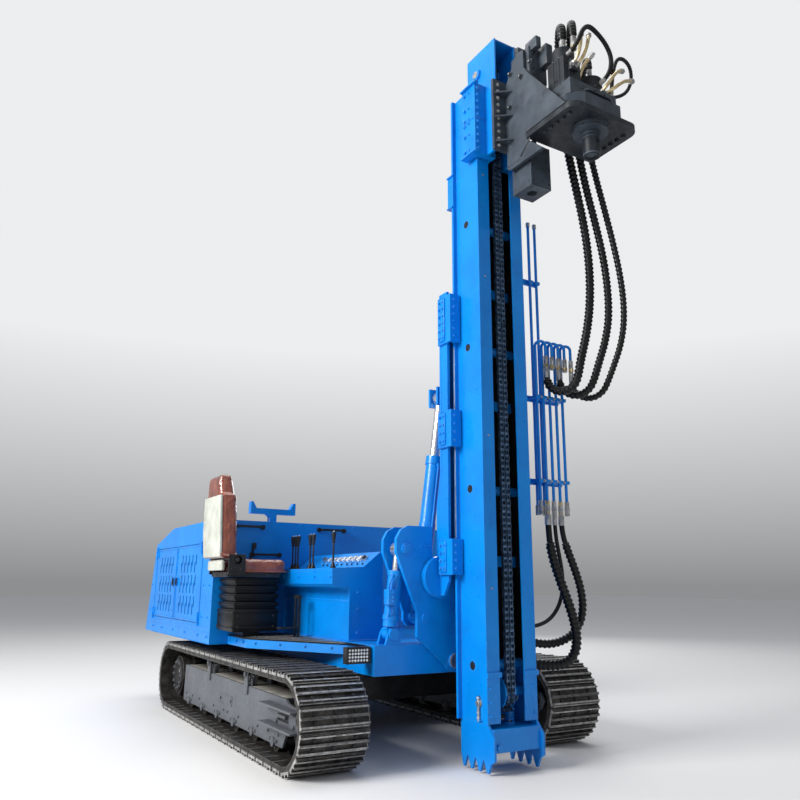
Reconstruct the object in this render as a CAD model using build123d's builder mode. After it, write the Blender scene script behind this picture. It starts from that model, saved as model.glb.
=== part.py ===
from math import atan2, cos, degrees, hypot, pi, radians, sin, tan
import os

from build123d import *

os.makedirs("parts", exist_ok=True)

# Millimetres. X points forward, Y to the machine's left, Z up from the ground.
# The origin lies on the ground at the centre of the machine's bounding box.

# Driving sizes
overall_length = 5150
overall_width = 2520
hood_width = 2400
track_gauge = 1900
track_width = 450
track_height = 590
axle_spacing = 2800
mast_width = 400
mast_depth = 290
mast_top_z = 4800
running_fit = 0.05
joint_gap = 5

# Places of the main groups
rear_x = -overall_length / 2
front_x = overall_length / 2
track_x = rear_x + 2300
centre_y = overall_width / 2 - hood_width / 2
mast_y = centre_y + 130
mast_front_x = track_x + 1990
mast_rear_x = mast_front_x - mast_depth


def block(x0, x1, y0, y1, z0, z1, mode=Mode.ADD):
    with Locations(((x0 + x1) / 2, (y0 + y1) / 2, (z0 + z1) / 2)):
        Box(x1 - x0, y1 - y0, z1 - z0, mode=mode)


def bar(axis, x, y, z, radius, length, mode=Mode.ADD):
    """Round bar centred on a point, along X, Y or Z."""
    turn = {"X": (0, 90, 0), "Y": (90, 0, 0), "Z": (0, 0, 0)}[axis]
    with Locations((x, y, z)):
        Cylinder(radius, length, rotation=turn, mode=mode)


def side_plate(points, y0, y1, mode=Mode.ADD, holes=()):
    """Plate between two Y planes, outlined by (x, z) points, with (x, z, radius) holes."""
    with BuildSketch(Plane.XZ.offset(-y1)) as outline:
        with BuildLine():
            Polyline(*points, close=True)
        make_face()
        for x, z, radius in holes:
            with Locations((x, z)):
                Circle(radius, mode=Mode.SUBTRACT)
    extrude(outline.sketch, amount=y1 - y0, mode=mode)


def cross_plate(points, x0, x1, mode=Mode.ADD, holes=()):
    """Plate between two X planes, outlined by (y, z) points, with (y, z, radius) holes."""
    with BuildSketch(Plane.YZ.offset(x0)) as outline:
        with BuildLine():
            Polyline(*points, close=True)
        make_face()
        for y, z, radius in holes:
            with Locations((y, z)):
                Circle(radius, mode=Mode.SUBTRACT)
    extrude(outline.sketch, amount=x1 - x0, mode=mode)


def floor_plate(points, z0, z1, mode=Mode.ADD):
    """Plate between two levels, outlined by (x, y) points."""
    with BuildSketch(Plane.XY.offset(z0)) as outline:
        with BuildLine():
            Polyline(*points, close=True)
        make_face()
    extrude(outline.sketch, amount=z1 - z0, mode=mode)


def save(piece, label):
    piece.part.label = label
    export_step(piece.part, f"parts/{label}.step")


# ---------------------------------------------------------------- tracks
grouser_height = 20
shoe_thickness = 15
link_height = 25
shoe_count = 52
wheel_z = track_height / 2
shoe_radius = track_height / 2 - grouser_height
link_radius = shoe_radius - shoe_thickness - link_height
sides = {"right": centre_y - track_gauge / 2, "left": centre_y + track_gauge / 2}
front_axle_x = track_x + axle_spacing / 2
rear_axle_x = track_x - axle_spacing / 2


def loop_place(distance):
    """Point on the shoes' outer face after a distance along the loop, and its turn."""
    arc = pi * shoe_radius
    lap = 2 * axle_spacing + 2 * arc
    distance %= lap
    if distance < axle_spacing:
        return -axle_spacing / 2 + distance, shoe_radius, 0
    distance -= axle_spacing
    if distance < arc:
        turn = distance / shoe_radius
        return axle_spacing / 2 + shoe_radius * sin(turn), shoe_radius * cos(turn), -degrees(turn)
    distance -= arc
    if distance < axle_spacing:
        return axle_spacing / 2 - distance, -shoe_radius, 180
    turn = (distance - axle_spacing) / shoe_radius
    return -axle_spacing / 2 - shoe_radius * sin(turn), -shoe_radius * cos(turn), 180 - degrees(turn)


shoe_pitch = (2 * axle_spacing + 2 * pi * shoe_radius) / shoe_count
for side, side_y in sides.items():
    loop_plane = Plane(
        origin=(track_x, side_y + track_width / 2, wheel_z), x_dir=(1, 0, 0), z_dir=(0, -1, 0)
    )
    with BuildPart() as track:
        with BuildSketch(loop_plane):
            SlotCenterToCenter(axle_spacing, 2 * shoe_radius)
            places = [loop_place((i + 0.5) * shoe_pitch) for i in range(shoe_count)]
            with Locations(*[Location((u, v, 0), (0, 0, turn)) for u, v, turn in places]):
                with Locations((0, grouser_height / 2 - 3)):
                    Rectangle(18, grouser_height + 6)
            SlotCenterToCenter(axle_spacing, 2 * link_radius, mode=Mode.SUBTRACT)
        extrude(amount=track_width)
    save(track, f"track_{side}")

# Track frames: a box beam between two cheeks that carry the rollers and the front idler
beam_half_width = 100
cheek_thickness = 16
cheek_y = beam_half_width + cheek_thickness
beam_z = (200, 400)
axle_radius = 25
roller_axle_radius = 18
roller_radius = 60
roller_z = wheel_z - link_radius + roller_radius + 0.3
roller_inset = 400
roller_count = 6
roller_reach = axle_spacing / 2 - roller_inset
roller_spots = [-roller_reach + 2 * roller_reach * i / (roller_count - 1) for i in range(roller_count)]
top_roller_radius = 45
top_roller_z = wheel_z + link_radius - top_roller_radius - 0.3
top_roller_inset = 950
top_roller_spots = [top_roller_inset - axle_spacing / 2, axle_spacing / 2 - top_roller_inset]
cheek_rear = 220 - axle_spacing / 2
beam_end = axle_spacing / 2 - 250
fork_start = axle_spacing / 2 - 180
fork_tip = axle_spacing / 2 + 80
motor_radius = 110

for side, side_y in sides.items():
    inward = 1 if side == "right" else -1
    cheek = [(cheek_rear, 105), (beam_end, 105), (fork_start, 215), (fork_tip - 40, 235),
             (fork_tip, wheel_z), (fork_tip - 40, 355), (fork_start, 380), (fork_start - 40, 400),
             (cheek_rear, 400)]
    cheek = [(track_x + x, z) for x, z in cheek]
    holes = [(track_x + x, roller_z, roller_axle_radius + running_fit) for x in roller_spots]
    holes += [(front_axle_x, wheel_z, axle_radius + running_fit)]
    with BuildPart() as track_frame:
        block(track_x - beam_end, track_x + beam_end, side_y - beam_half_width, side_y + beam_half_width, *beam_z)
        side_plate(cheek, side_y - cheek_y, side_y - beam_half_width, holes=holes)
        side_plate(cheek, side_y + beam_half_width, side_y + cheek_y, holes=holes)
        inner_y = side_y + inward * (beam_half_width + cheek_thickness / 2)
        motor_plate = [(rear_axle_x - 120, 175), (track_x + cheek_rear, 175), (track_x + cheek_rear, 400),
                       (rear_axle_x - 120, 400)]
        side_plate(motor_plate, inner_y - cheek_thickness / 2, inner_y + cheek_thickness / 2,
                   holes=[(rear_axle_x, wheel_z, motor_radius + running_fit)])
        for spot in top_roller_spots:
            for off in (-60, 60):
                block(track_x + spot - 35, track_x + spot + 35, side_y + off - 8, side_y + off + 8,
                      beam_z[1], top_roller_z + 25)
                bar("Y", track_x + spot, side_y + off, top_roller_z,
                    roller_axle_radius + running_fit, 40, mode=Mode.SUBTRACT)
    save(track_frame, f"track_frame_{side}")

with BuildPart() as rollers:
    for side_y in sides.values():
        for spot in roller_spots:
            bar("Y", track_x + spot, side_y, roller_z, roller_radius, 190)
            bar("Y", track_x + spot, side_y, roller_z, roller_axle_radius, 2 * cheek_y + 16)
        for spot in top_roller_spots:
            bar("Y", track_x + spot, side_y, top_roller_z, top_roller_radius, 100)
            bar("Y", track_x + spot, side_y, top_roller_z, roller_axle_radius, 150)
save(rollers, "track_rollers")

with BuildPart() as idlers:
    for side_y in sides.values():
        bar("Y", front_axle_x, side_y, wheel_z, link_radius - 0.3, 110)
        bar("Y", front_axle_x, side_y, wheel_z, link_radius - 40, 150)
        bar("Y", front_axle_x, side_y, wheel_z, axle_radius, 2 * cheek_y + 20)
save(idlers, "front_idlers")

tooth_count = 21
with BuildPart() as sprockets:
    for side, side_y in sides.items():
        inward = 1 if side == "right" else -1
        disc_plane = Plane(origin=(rear_axle_x, side_y + 25, wheel_z), x_dir=(1, 0, 0), z_dir=(0, -1, 0))
        with BuildSketch(disc_plane) as disc:
            Circle(link_radius - 26)
            with PolarLocations(link_radius - 22, tooth_count):
                Circle(18)
        extrude(disc.sketch, amount=50)
        bar("Y", rear_axle_x, side_y - inward * 70, wheel_z, 165, 90)
        bar("Y", rear_axle_x, side_y + inward * 75, wheel_z, motor_radius, 110)
save(sprockets, "drive_sprockets")

# ---------------------------------------------------------------- centre frame and chassis
chassis_z = (545, 735)
chassis_front_x = track_x + 1500
chassis_rear_x = track_x - 2050
chassis_half_width = 600
chassis_wall = 12
pivot_y = centre_y
pivot_z = 622
pivot_radius = 34
pedestal_radius = 450
inner_cheek = track_gauge / 2 - cheek_y

with BuildPart() as centre_frame:
    block(track_x - 420, track_x + 420, centre_y - inner_cheek, centre_y + inner_cheek, 230, 400)
    bar("Z", track_x, centre_y, (400 + chassis_z[0]) / 2, pedestal_radius, chassis_z[0] - 400)
save(centre_frame, "centre_frame")

# Boom plates turn sideways on a pin in the chassis front. Points are (y, z) from the centre plane.
rear_plate_x = (track_x + 1330, track_x + 1360)
front_plate_x = (track_x + 1510, track_x + 1540)
between_x = (rear_plate_x[1] + front_plate_x[0]) / 2
tilt_base = (centre_y - 455, 800)
tilt_eye = (centre_y - 390, 1355)
swing_y, swing_z = centre_y, 1170
swing_radius = 55
swing_base = (centre_y - 235, 905)
swing_eye = (centre_y - 30, 2470)
tilt_pin_radius = 22
swing_pin_radius = 28

with BuildPart() as chassis:
    block(chassis_rear_x, chassis_front_x, centre_y - chassis_half_width, centre_y + chassis_half_width,
          *chassis_z)
    block(chassis_rear_x + chassis_wall, chassis_front_x - chassis_wall,
          centre_y - chassis_half_width + chassis_wall, centre_y + chassis_half_width - chassis_wall,
          chassis_z[0] + chassis_wall, chassis_z[1] - chassis_wall, mode=Mode.SUBTRACT)
    bar("X", chassis_front_x - 60, pivot_y, pivot_z, pivot_radius + 30, 120)
    bar("X", chassis_front_x - 60, pivot_y, pivot_z, pivot_radius + running_fit, 140, mode=Mode.SUBTRACT)
    for x0, x1 in ((between_x - 60, between_x - 40), (between_x + 40, between_x + 60)):
        lug = [(-60, chassis_z[1]), (65, chassis_z[1]), (38, 810), (20, 838), (-20, 838), (-38, 810)]
        cross_plate([(tilt_base[0] + y, z) for y, z in lug], x0, x1)
    bar("X", between_x, *tilt_base, tilt_pin_radius, 140)
    bar("X", between_x + 66, *tilt_base, tilt_pin_radius + 14, 12)
save(chassis, "chassis")

with BuildPart() as pivot_pin:
    bar("X", chassis_front_x, pivot_y, pivot_z, pivot_radius, 110)
    bar("X", chassis_front_x + 60, pivot_y, pivot_z, pivot_radius + 16, 18)
save(pivot_pin, "boom_pivot_pin")

# ---------------------------------------------------------------- hood with doors
hood_front_x = track_x - 100
hood_y = (centre_y - hood_width / 2, centre_y + hood_width / 2)
hood_bottom_z = 650
hood_top_z = 1625
hood_wall = 25
hood_floor_z = (chassis_z[1], chassis_z[1] + 20)
hood_rear_x = rear_x
door_z = (800, 1440)
door_x = {"rear": (track_x - 2025, track_x - 1248), "front": (track_x - 1232, track_x - 420)}
hinge_inset = 14
hinge_pin_radius = 5
hinge_x = {"rear": door_x["rear"][0] + hinge_inset, "front": door_x["front"][1] - hinge_inset}

outline = [(hood_rear_x, hood_bottom_z), (track_x - 2085, 1490), (track_x - 1450, hood_top_z),
           (hood_front_x, hood_top_z), (hood_front_x, hood_bottom_z)]
inside = [(hood_rear_x + 62, hood_floor_z[1]), (track_x - 2062, 1478), (track_x - 1447, hood_top_z - hood_wall),
          (hood_front_x - hood_wall, hood_top_z - hood_wall), (hood_front_x - hood_wall, hood_floor_z[1])]
with BuildPart() as hood:
    side_plate(outline, *hood_y)
    side_plate(inside, hood_y[0] + hood_wall, hood_y[1] - hood_wall, mode=Mode.SUBTRACT)
    block(chassis_rear_x - 60, hood_front_x - hood_wall, hood_y[0] + hood_wall, hood_y[1] - hood_wall,
          hood_bottom_z - 5, hood_floor_z[0], mode=Mode.SUBTRACT)
    block(hood_front_x - hood_wall - 5, hood_front_x + 5, centre_y - chassis_half_width,
          centre_y + chassis_half_width, hood_bottom_z - 5, chassis_z[1], mode=Mode.SUBTRACT)
    for x0, x1 in door_x.values():
        block(x0 - joint_gap, x1 + joint_gap, hood_y[0] - 1, hood_y[0] + hood_wall + 1,
              door_z[0] - joint_gap, door_z[1] + joint_gap, mode=Mode.SUBTRACT)
    for x in hinge_x.values():
        for z, inward in ((door_z[0] - 14, 1), (door_z[1] + 14, -1)):
            bar("Z", x, hood_y[0] - 10, z, 9, 18)
            block(x - 9, x + 9, hood_y[0] - 10, hood_y[0], z - 9, z + 9)
            bar("Z", x, hood_y[0] - 10, z + inward * 35, hinge_pin_radius, 80)
    for row in range(3):
        with Locations((track_x - 1240, hood_y[1], 880 + 220 * row)):
            with GridLocations(90, 1, 14, 1):
                Box(30, 4 * hood_wall, 150, mode=Mode.SUBTRACT)
save(hood, "hood")

for name, (x0, x1) in door_x.items():
    with BuildPart() as door:
        block(x0, x1, hood_y[0], hood_y[0] + hood_wall, *door_z)
        swing_side = -1 if name == "rear" else 1
        for z in (door_z[0] + 40, door_z[1] - 40):
            bar("Z", hinge_x[name], hood_y[0] - 10, z, 9, 60)
            block(hinge_x[name] - 9, hinge_x[name] + 9, hood_y[0] - 10, hood_y[0], z - 30, z + 30)
            bar("Z", hinge_x[name], hood_y[0] - 10, z, hinge_pin_radius + running_fit, 62, mode=Mode.SUBTRACT)
        middle = (x0 + x1) / 2 - swing_side * 20
        with BuildSketch(Plane.XZ.offset(-hood_y[0] - hood_wall - 1)) as slots:
            for row in range(3):
                for step in range(2):
                    with Locations((middle + 36 * step - 18, 900 + 175 * row + 62 * step)):
                        with GridLocations(108, 1, 5, 1):
                            SlotOverall(96, 26, rotation=90)
        extrude(slots.sketch, amount=hood_wall + 2, mode=Mode.SUBTRACT)
        latch_x = x1 - 50 if name == "rear" else x0 + 50
        block(latch_x - 22, latch_x + 22, hood_y[0] - 10, hood_y[0], 1085, 1165)
    save(door, f"hood_door_{name}")

with BuildPart() as engine:
    block(track_x - 1750, track_x - 850, centre_y - 380, centre_y + 380, hood_floor_z[1], 1330)
save(engine, "engine_block")

cradle_x = (hood_front_x - 75, hood_front_x - 15)
cradle_z = 1690
cradle_half = 200
cradle_y = centre_y - 710
with BuildPart() as cradle:
    horn = [(-cradle_half, cradle_z), (-cradle_half, cradle_z + 100), (-cradle_half + 18, cradle_z + 100),
            (-cradle_half + 50, cradle_z + 45), (cradle_half - 50, cradle_z + 45),
            (cradle_half - 18, cradle_z + 100), (cradle_half, cradle_z + 100), (cradle_half, cradle_z),
            (30, cradle_z), (30, hood_top_z), (-30, hood_top_z), (-30, cradle_z - 25), (-45, cradle_z - 8),
            (-60, cradle_z)]
    cross_plate([(cradle_y + y, z) for y, z in horn], *cradle_x)
save(cradle, "tool_cradle")

with BuildPart() as handles:
    for y, z in ((centre_y - 924, 1575), (centre_y - 768, 1350), (centre_y - 170, 1575)):
        for off in (-100, 100):
            block(hood_front_x, hood_front_x + 44, y + off - 9, y + off + 9, z - 9, z + 9)
        block(hood_front_x + 30, hood_front_x + 48, y - 109, y + 109, z - 9, z + 9)
save(handles, "hood_handles")

# ---------------------------------------------------------------- deck, console and seat
deck_z = 730
deck_edge = [(hood_front_x + 4, centre_y - 1050), (track_x + 330, centre_y - 1050),
             (track_x + 1130, centre_y - chassis_half_width - 5),
             (hood_front_x + 4, centre_y - chassis_half_width - 5)]
with BuildPart() as deck_plate:
    floor_plate(deck_edge, deck_z - 8, deck_z)
save(deck_plate, "deck_plate")

with BuildPart() as deck_frame:
    floor_plate(deck_edge, deck_z - 78, deck_z - 8)
    inner = [(hood_front_x + 16, centre_y - 1038), (track_x + 326, centre_y - 1038),
             (track_x + 1090, centre_y - chassis_half_width - 12),
             (hood_front_x + 16, centre_y - chassis_half_width - 12)]
    floor_plate(inner, deck_z - 80, deck_z - 20, mode=Mode.SUBTRACT)
    block(track_x + 400, track_x + 412, centre_y - 940, centre_y - 606, deck_z - 76, deck_z - 20)
    block(hood_front_x + 4, track_x + 1130, centre_y - chassis_half_width - 6, centre_y - chassis_half_width,
          deck_z - 60, deck_z - 30)
save(deck_frame, "deck_frame")

console_x = (hood_front_x + 6, track_x + 1100)
profile = [(-586, chassis_z[1]), (-586, 1085), (-600, 1098), (-700, 1098), (-722, 1120), (-725, 1228),
           (-478, 1240), (-340, 1350), (-320, 1350), (-320, chassis_z[1])]
with BuildPart() as console:
    cross_plate([(centre_y + y, z) for y, z in profile], *console_x)
save(console, "console_box")

slope = atan2(1350 - 1240, 478 - 340)
gauge_table = [  # place along the panel, radius, height
    (330, 22, 26), (410, 24, 10), (500, 24, 10), (580, 26, 12), (660, 26, 12), (745, 30, 14),
    (830, 30, 14), (915, 30, 14), (1000, 24, 16),
]
with BuildPart() as gauges:
    for along, radius, height in gauge_table:
        spot = Plane(origin=(track_x + along, centre_y - 409, 1295), x_dir=(1, 0, 0),
                     z_dir=(0, -sin(slope), cos(slope)))
        with Locations(spot.location):
            Cylinder(radius, height, align=(Align.CENTER, Align.CENTER, Align.MIN))
save(gauges, "panel_gauges")

with BuildPart() as levers:
    for along in (80, 140, 190, 430, 490, 850):
        x = track_x + along
        with Locations((x, centre_y - 600, 1234.5)):
            Cylinder(7, 190, align=(Align.CENTER, Align.CENTER, Align.MIN))
        with Locations((x, centre_y - 600, 1424)):
            Cone(10, 19, 60, align=(Align.CENTER, Align.CENTER, Align.MIN))
        with Locations((x, centre_y - 600, 1484)):
            Cylinder(19, 10, align=(Align.CENTER, Align.CENTER, Align.MIN))
save(levers, "control_levers")

with BuildPart() as pedals:
    for along in (430, 500):
        block(track_x + along, track_x + along + 16, centre_y - 716, centre_y - 700, deck_z, 1010)
    block(track_x + 425, track_x + 521, centre_y - 718, centre_y - 698, 1010, 1035)
    block(track_x + 430, track_x + 516, centre_y - 850, centre_y - 716, deck_z + 60, deck_z + 72)
save(pedals, "pedal_stand")

seat_x = (track_x - 80, track_x + 370)
seat_rear_y = -overall_width / 2
base_x = (track_x - 60, track_x + 320)
base_y = (centre_y - 1160, centre_y - 800)
seat_z = 1200
cushion_thickness = 95
with BuildPart() as seat_post:
    block(track_x + 30, track_x + 230, centre_y - 1045, centre_y - 915, deck_z, 765)
save(seat_post, "seat_post")

base_mid = ((base_x[0] + base_x[1]) / 2, (base_y[0] + base_y[1]) / 2)
base_size = (base_x[1] - base_x[0], base_y[1] - base_y[0])
with BuildPart() as bellows:
    block(*base_x, *base_y, 765, 930)
    fold_count = 4
    fold_height = (1165 - 930) / (2 * fold_count)
    for i in range(2 * fold_count + 1):
        inset = 34 if i % 2 == 0 else 0
        with BuildSketch(Plane.XY.offset(930 + i * fold_height)):
            with Locations(base_mid):
                Rectangle(base_size[0] - inset, base_size[1] - inset)
    loft(ruled=True)
save(bellows, "seat_bellows")

cushion_y = (centre_y - 1165, centre_y - 748)
back_front_y = seat_rear_y + 130
with BuildPart() as seat_frame:
    block(seat_x[0] + 30, seat_x[1] - 30, cushion_y[0] - 60, cushion_y[1] - 60, 1165, seat_z)
    for x in (seat_x[0] - 16, seat_x[1] + 4):
        block(x, x + 12, cushion_y[0] - 70, cushion_y[0] + 60, 1185, 1330)
        block(min(x, seat_x[0] - 4), max(x + 12, seat_x[0] + 40) if x < track_x else x + 12,
              cushion_y[0] - 50, cushion_y[0] + 20, 1180, seat_z - 4)
    block(seat_x[1] - 40, seat_x[1] + 16, cushion_y[0] - 50, cushion_y[0] + 20, 1180, seat_z - 4)
    bar("X", seat_x[1] + 20, cushion_y[0] - 10, 1290, 34, 20)
    block(seat_x[0] - 16, seat_x[1] + 16, cushion_y[0] - 70, cushion_y[0] - 12, 1287, 1305)
save(seat_frame, "seat_frame")

with BuildPart() as cushion:
    block(*seat_x, *cushion_y, seat_z, seat_z + cushion_thickness)
    fillet(cushion.edges().filter_by(Axis.Z), 60)
    fillet(cushion.faces().sort_by(Axis.Z)[-1].edges(), 28)
save(cushion, "seat_cushion")

back_lean = 30
with BuildPart() as seat_back:
    for z, rear, front, half in ((1305, back_lean, 150, 225), (1500, 18, 142, 238), (1780, 4, 128, 215),
                                 (1790, 4, 118, 180), (1955, 0, 100, 150)):
        with BuildSketch(Plane.XY.offset(z)):
            with Locations(((seat_x[0] + seat_x[1]) / 2, seat_rear_y + (rear + front) / 2)):
                RectangleRounded(2 * half, front - rear, 30)
    loft(ruled=True)
save(seat_back, "seat_back")

with BuildPart() as travel_lever:
    with BuildSketch(Plane.YZ.offset(seat_x[0] - 14)) as blade:
        with BuildLine():
            Polyline((centre_y - 960, 1170), (centre_y - 930, 1170), (centre_y - 868, 1405),
                     (centre_y - 884, 1405), close=True)
        make_face()
    extrude(blade.sketch, amount=8)
    block(seat_x[0] - 14, seat_x[0] + 30, centre_y - 960, centre_y - 930, 1166, 1184)
    with Locations((seat_x[0] + 2, centre_y - 876, 1420)):
        Cylinder(17, 46)
save(travel_lever, "travel_lever")

lamp_x = (track_x + 1420, track_x + 1470)
lamp_y = (centre_y - 785, centre_y - 615)
lamp_z = (625, 728)
with BuildPart() as lamp:
    block(*lamp_x, *lamp_y, *lamp_z)
    block(lamp_x[0] - 40, lamp_x[0], lamp_y[0] + 50, lamp_y[1] - 50, 650, 700)
    block(lamp_x[0] - 40, lamp_x[0] - 32, lamp_y[0] + 50, centre_y - chassis_half_width, 640, 710)
save(lamp, "work_lamp")

# ---------------------------------------------------------------- boom
boom_left = [(-68, 590), (-300, 780), (-300, 940), (-465, 1330), (-465, 1420), (-430, 1480), (-375, 1510),
             (-180, 1510), (-180, 1285), (-70, 1248), (300, 1248), (320, 1200), (320, 1000), (68, 600)]
rear_outline = [(-270, 845), (-300, 880), (-300, 940)] + boom_left[3:12] + [(320, 1000), (200, 845)]
boom_holes = [(swing_y, swing_z, swing_radius + running_fit)]
with BuildPart() as boom:
    cross_plate([(centre_y + y, z) for y, z in boom_left], *front_plate_x, holes=boom_holes)
    bar("X", sum(front_plate_x) / 2, pivot_y, pivot_z, 74, front_plate_x[1] - front_plate_x[0])
    bar("X", sum(front_plate_x) / 2, pivot_y, pivot_z, pivot_radius + running_fit, 60, mode=Mode.SUBTRACT)
    cross_plate([(centre_y + y, z) for y, z in rear_outline], *rear_plate_x, holes=boom_holes)
    block(rear_plate_x[1], front_plate_x[0], centre_y - 110, centre_y + 240, 850, 868)
    block(rear_plate_x[1], front_plate_x[0], centre_y + 222, centre_y + 240, 868, 1150)
    bar("X", between_x, *tilt_eye, tilt_pin_radius, 230)
    bar("X", front_plate_x[1] + 8, *tilt_eye, 34, 16)
    bar("X", between_x, *swing_base, swing_pin_radius, 230)
    for y in (-330, -300, -270):
        bar("X", front_plate_x[1] + 4, tilt_eye[0] + 390 + y + 60, tilt_eye[1] + 22, 7, 8)
save(boom, "boom_plates")


def cylinder_body(base, eye, pin_radius, barrel_radius, rod_radius, barrel_start, barrel_end, name):
    """Barrel and rod of a hydraulic cylinder between two pins that lie across X."""
    length = hypot(eye[0] - base[0], eye[1] - base[1])
    along = (0, (eye[0] - base[0]) / length, (eye[1] - base[1]) / length)
    axis = Plane(origin=(between_x, *base), x_dir=(1, 0, 0), z_dir=along)
    with BuildPart() as barrel:
        with Locations(axis.offset(barrel_start).location):
            Cylinder(barrel_radius, barrel_end - barrel_start, align=(Align.CENTER, Align.CENTER, Align.MIN))
        bar("X", between_x, *base, pin_radius + 18, 66)
        with Locations(axis.offset(pin_radius + 6).location):
            Box(50, 1.5 * barrel_radius, barrel_start, align=(Align.CENTER, Align.CENTER, Align.MIN))
        bar("X", between_x, *base, pin_radius + running_fit, 80, mode=Mode.SUBTRACT)
        with Locations(axis.offset(barrel_start + 30).location):
            Cylinder(rod_radius + running_fit, barrel_end, align=(Align.CENTER, Align.CENTER, Align.MIN),
                     mode=Mode.SUBTRACT)
        with Locations(axis.offset(barrel_end - 34).location):
            Cylinder(barrel_radius + 6, 34, align=(Align.CENTER, Align.CENTER, Align.MIN))
        with Locations(axis.offset(barrel_end - 36).location):
            Cylinder(rod_radius + running_fit, 60, align=(Align.CENTER, Align.CENTER, Align.MIN),
                     mode=Mode.SUBTRACT)
    save(barrel, f"{name}_barrel")
    with BuildPart() as rod:
        with Locations(axis.offset(barrel_end * 0.62).location):
            Cylinder(rod_radius, length - barrel_end * 0.62, align=(Align.CENTER, Align.CENTER, Align.MIN))
        bar("X", between_x, *eye, pin_radius + 26, 60)
        bar("X", between_x, *eye, pin_radius + 8, 80, mode=Mode.SUBTRACT)
    save(rod, f"{name}_rod")


cylinder_body(tilt_base, tilt_eye, tilt_pin_radius, 50, 27, 46, 410, "tilt_cylinder")
cylinder_body(swing_base, swing_eye, swing_pin_radius, 56, 38, 62, 1125, "swing_cylinder")

# ---------------------------------------------------------------- slide frame behind the mast
frame_y = (mast_y - 275, mast_y + 275)
frame_z = (1180, 3210)
frame_wall = 20
frame_back_x = track_x + 1590
frame_side_x = mast_rear_x - 10
with BuildPart() as slide_frame:
    block(frame_back_x, frame_back_x + frame_wall, frame_y[0], frame_y[1], 1050, frame_z[1])
    foot = [(frame_back_x - 45, 1050), (frame_back_x - 45, 1650), (frame_back_x, 1880), (frame_side_x, 1880),
            (frame_side_x, 1150), (frame_side_x - 60, 1050)]
    for y in (frame_y[0], frame_y[1] - frame_wall):
        side_plate(foot, y, y + frame_wall)
        block(frame_back_x, frame_side_x, y, y + frame_wall, *frame_z)
    with BuildSketch(Plane.YZ.offset(front_plate_x[1] + joint_gap)) as lug:
        with Locations((centre_y + 45, swing_z)):
            SlotOverall(630, 280)
    extrude(lug.sketch, amount=frame_back_x - front_plate_x[1] - joint_gap)
    bar("X", between_x + 25, swing_y, swing_z, swing_radius, front_plate_x[1] - rear_plate_x[0] + 70)
    for x in (between_x - 60, between_x + 40):
        block(x, x + 20, swing_eye[0] - 70, centre_y + 80, 2400, 2540)
    block(between_x - 60, frame_back_x, centre_y + 60, centre_y + 80, 2380, 2560)
    bar("X", between_x, *swing_eye, swing_pin_radius, 140)
    block(frame_back_x, frame_side_x - 15, centre_y + 160, frame_y[1], 1040, 1060)
save(slide_frame, "slide_frame")

guide_table = [(1185, 1420), (2050, 2310), (2810, 3170)]  # bottom and top of each pair
rail_overhang = 30
with BuildPart() as guides:
    for z0, z1 in guide_table:
        for y, out in ((frame_y[0], -1), (frame_y[1], 1)):
            cover = sorted((y, y + out * 20))
            hook = sorted((y + out * 20, y - out * 67))
            block(frame_side_x - 90, mast_rear_x + 60, *cover, z0, z1)
            block(mast_rear_x + 27, mast_rear_x + 60, *hook, z0, z1)
save(guides, "guide_blocks")

# ---------------------------------------------------------------- mast
mast_side = (mast_y - mast_width / 2, mast_y + mast_width / 2)
mast_wall = 12
flange_width = 100
foot_top_z = 290
cross_rounds = [620, 1750, 2750, 3700]
cross_flats = [1240, 2320, 3170]
with BuildPart() as mast:
    block(mast_rear_x, mast_rear_x + 20, mast_side[0] - rail_overhang, mast_side[1] + rail_overhang,
          foot_top_z, mast_top_z)
    for y, inward in ((mast_side[0], 1), (mast_side[1], -1)):
        wall = sorted((y, y + inward * mast_wall))
        flange = sorted((y, y + inward * flange_width))
        block(mast_rear_x + 20, mast_front_x, *wall, foot_top_z, mast_top_z)
        block(mast_front_x - mast_wall, mast_front_x, *flange, foot_top_z, mast_top_z)
    for z in cross_rounds:
        bar("Y", mast_rear_x + 142, mast_y, z, 32, mast_width + 2)
        bar("Y", mast_rear_x + 142, mast_y, z, 26, mast_width + 10, mode=Mode.SUBTRACT)
    for z in cross_flats:
        block(mast_rear_x + 115, mast_rear_x + 127, mast_side[0] + 5, mast_side[1] - 5, z, z + 70)
    block(mast_rear_x, mast_front_x, mast_side[0], mast_side[1], mast_top_z - 15, mast_top_z)
    block(mast_rear_x + 66, mast_rear_x + 278, mast_y - 60, mast_y + 60, mast_top_z - 20, mast_top_z + 1,
          mode=Mode.SUBTRACT)
    bracket_y = mast_side[0] - rail_overhang
    block(mast_rear_x - 50, mast_rear_x, bracket_y, bracket_y + 10, 3900, 4150)
    block(mast_rear_x - 50, mast_rear_x + 20, bracket_y - 12, bracket_y + 60, 3890, 3900)
    block(mast_rear_x - 50, mast_rear_x + 20, bracket_y - 12, bracket_y + 60, 4150, 4160)
    for y in (mast_side[0], mast_side[1] - flange_width):
        block(mast_front_x, mast_front_x + 14, y - 4 if y < mast_y else y - 4, y + flange_width + 8, 560, 590)
save(mast, "mast_channel")

box_half = 100
box_x = (mast_rear_x + 54, mast_front_x + 110)
box_top_z = 5175
chain_x = mast_rear_x + 175
sprocket_radius = 78
chain_thickness = 22
chain_low_z, chain_high_z = 455, 4985
with BuildPart() as top_box:
    block(box_x[0], box_x[1], mast_y - box_half, mast_y + box_half, mast_top_z, box_top_z)
    block(box_x[0] + 12, box_x[1] + 1, mast_y - box_half + 12, mast_y + box_half - 12,
          mast_top_z - 1, box_top_z + 1, mode=Mode.SUBTRACT)
    bar("Y", chain_x, mast_y, chain_high_z, 30 + running_fit, 2 * box_half + 10, mode=Mode.SUBTRACT)
save(top_box, "mast_top_box")

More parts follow.
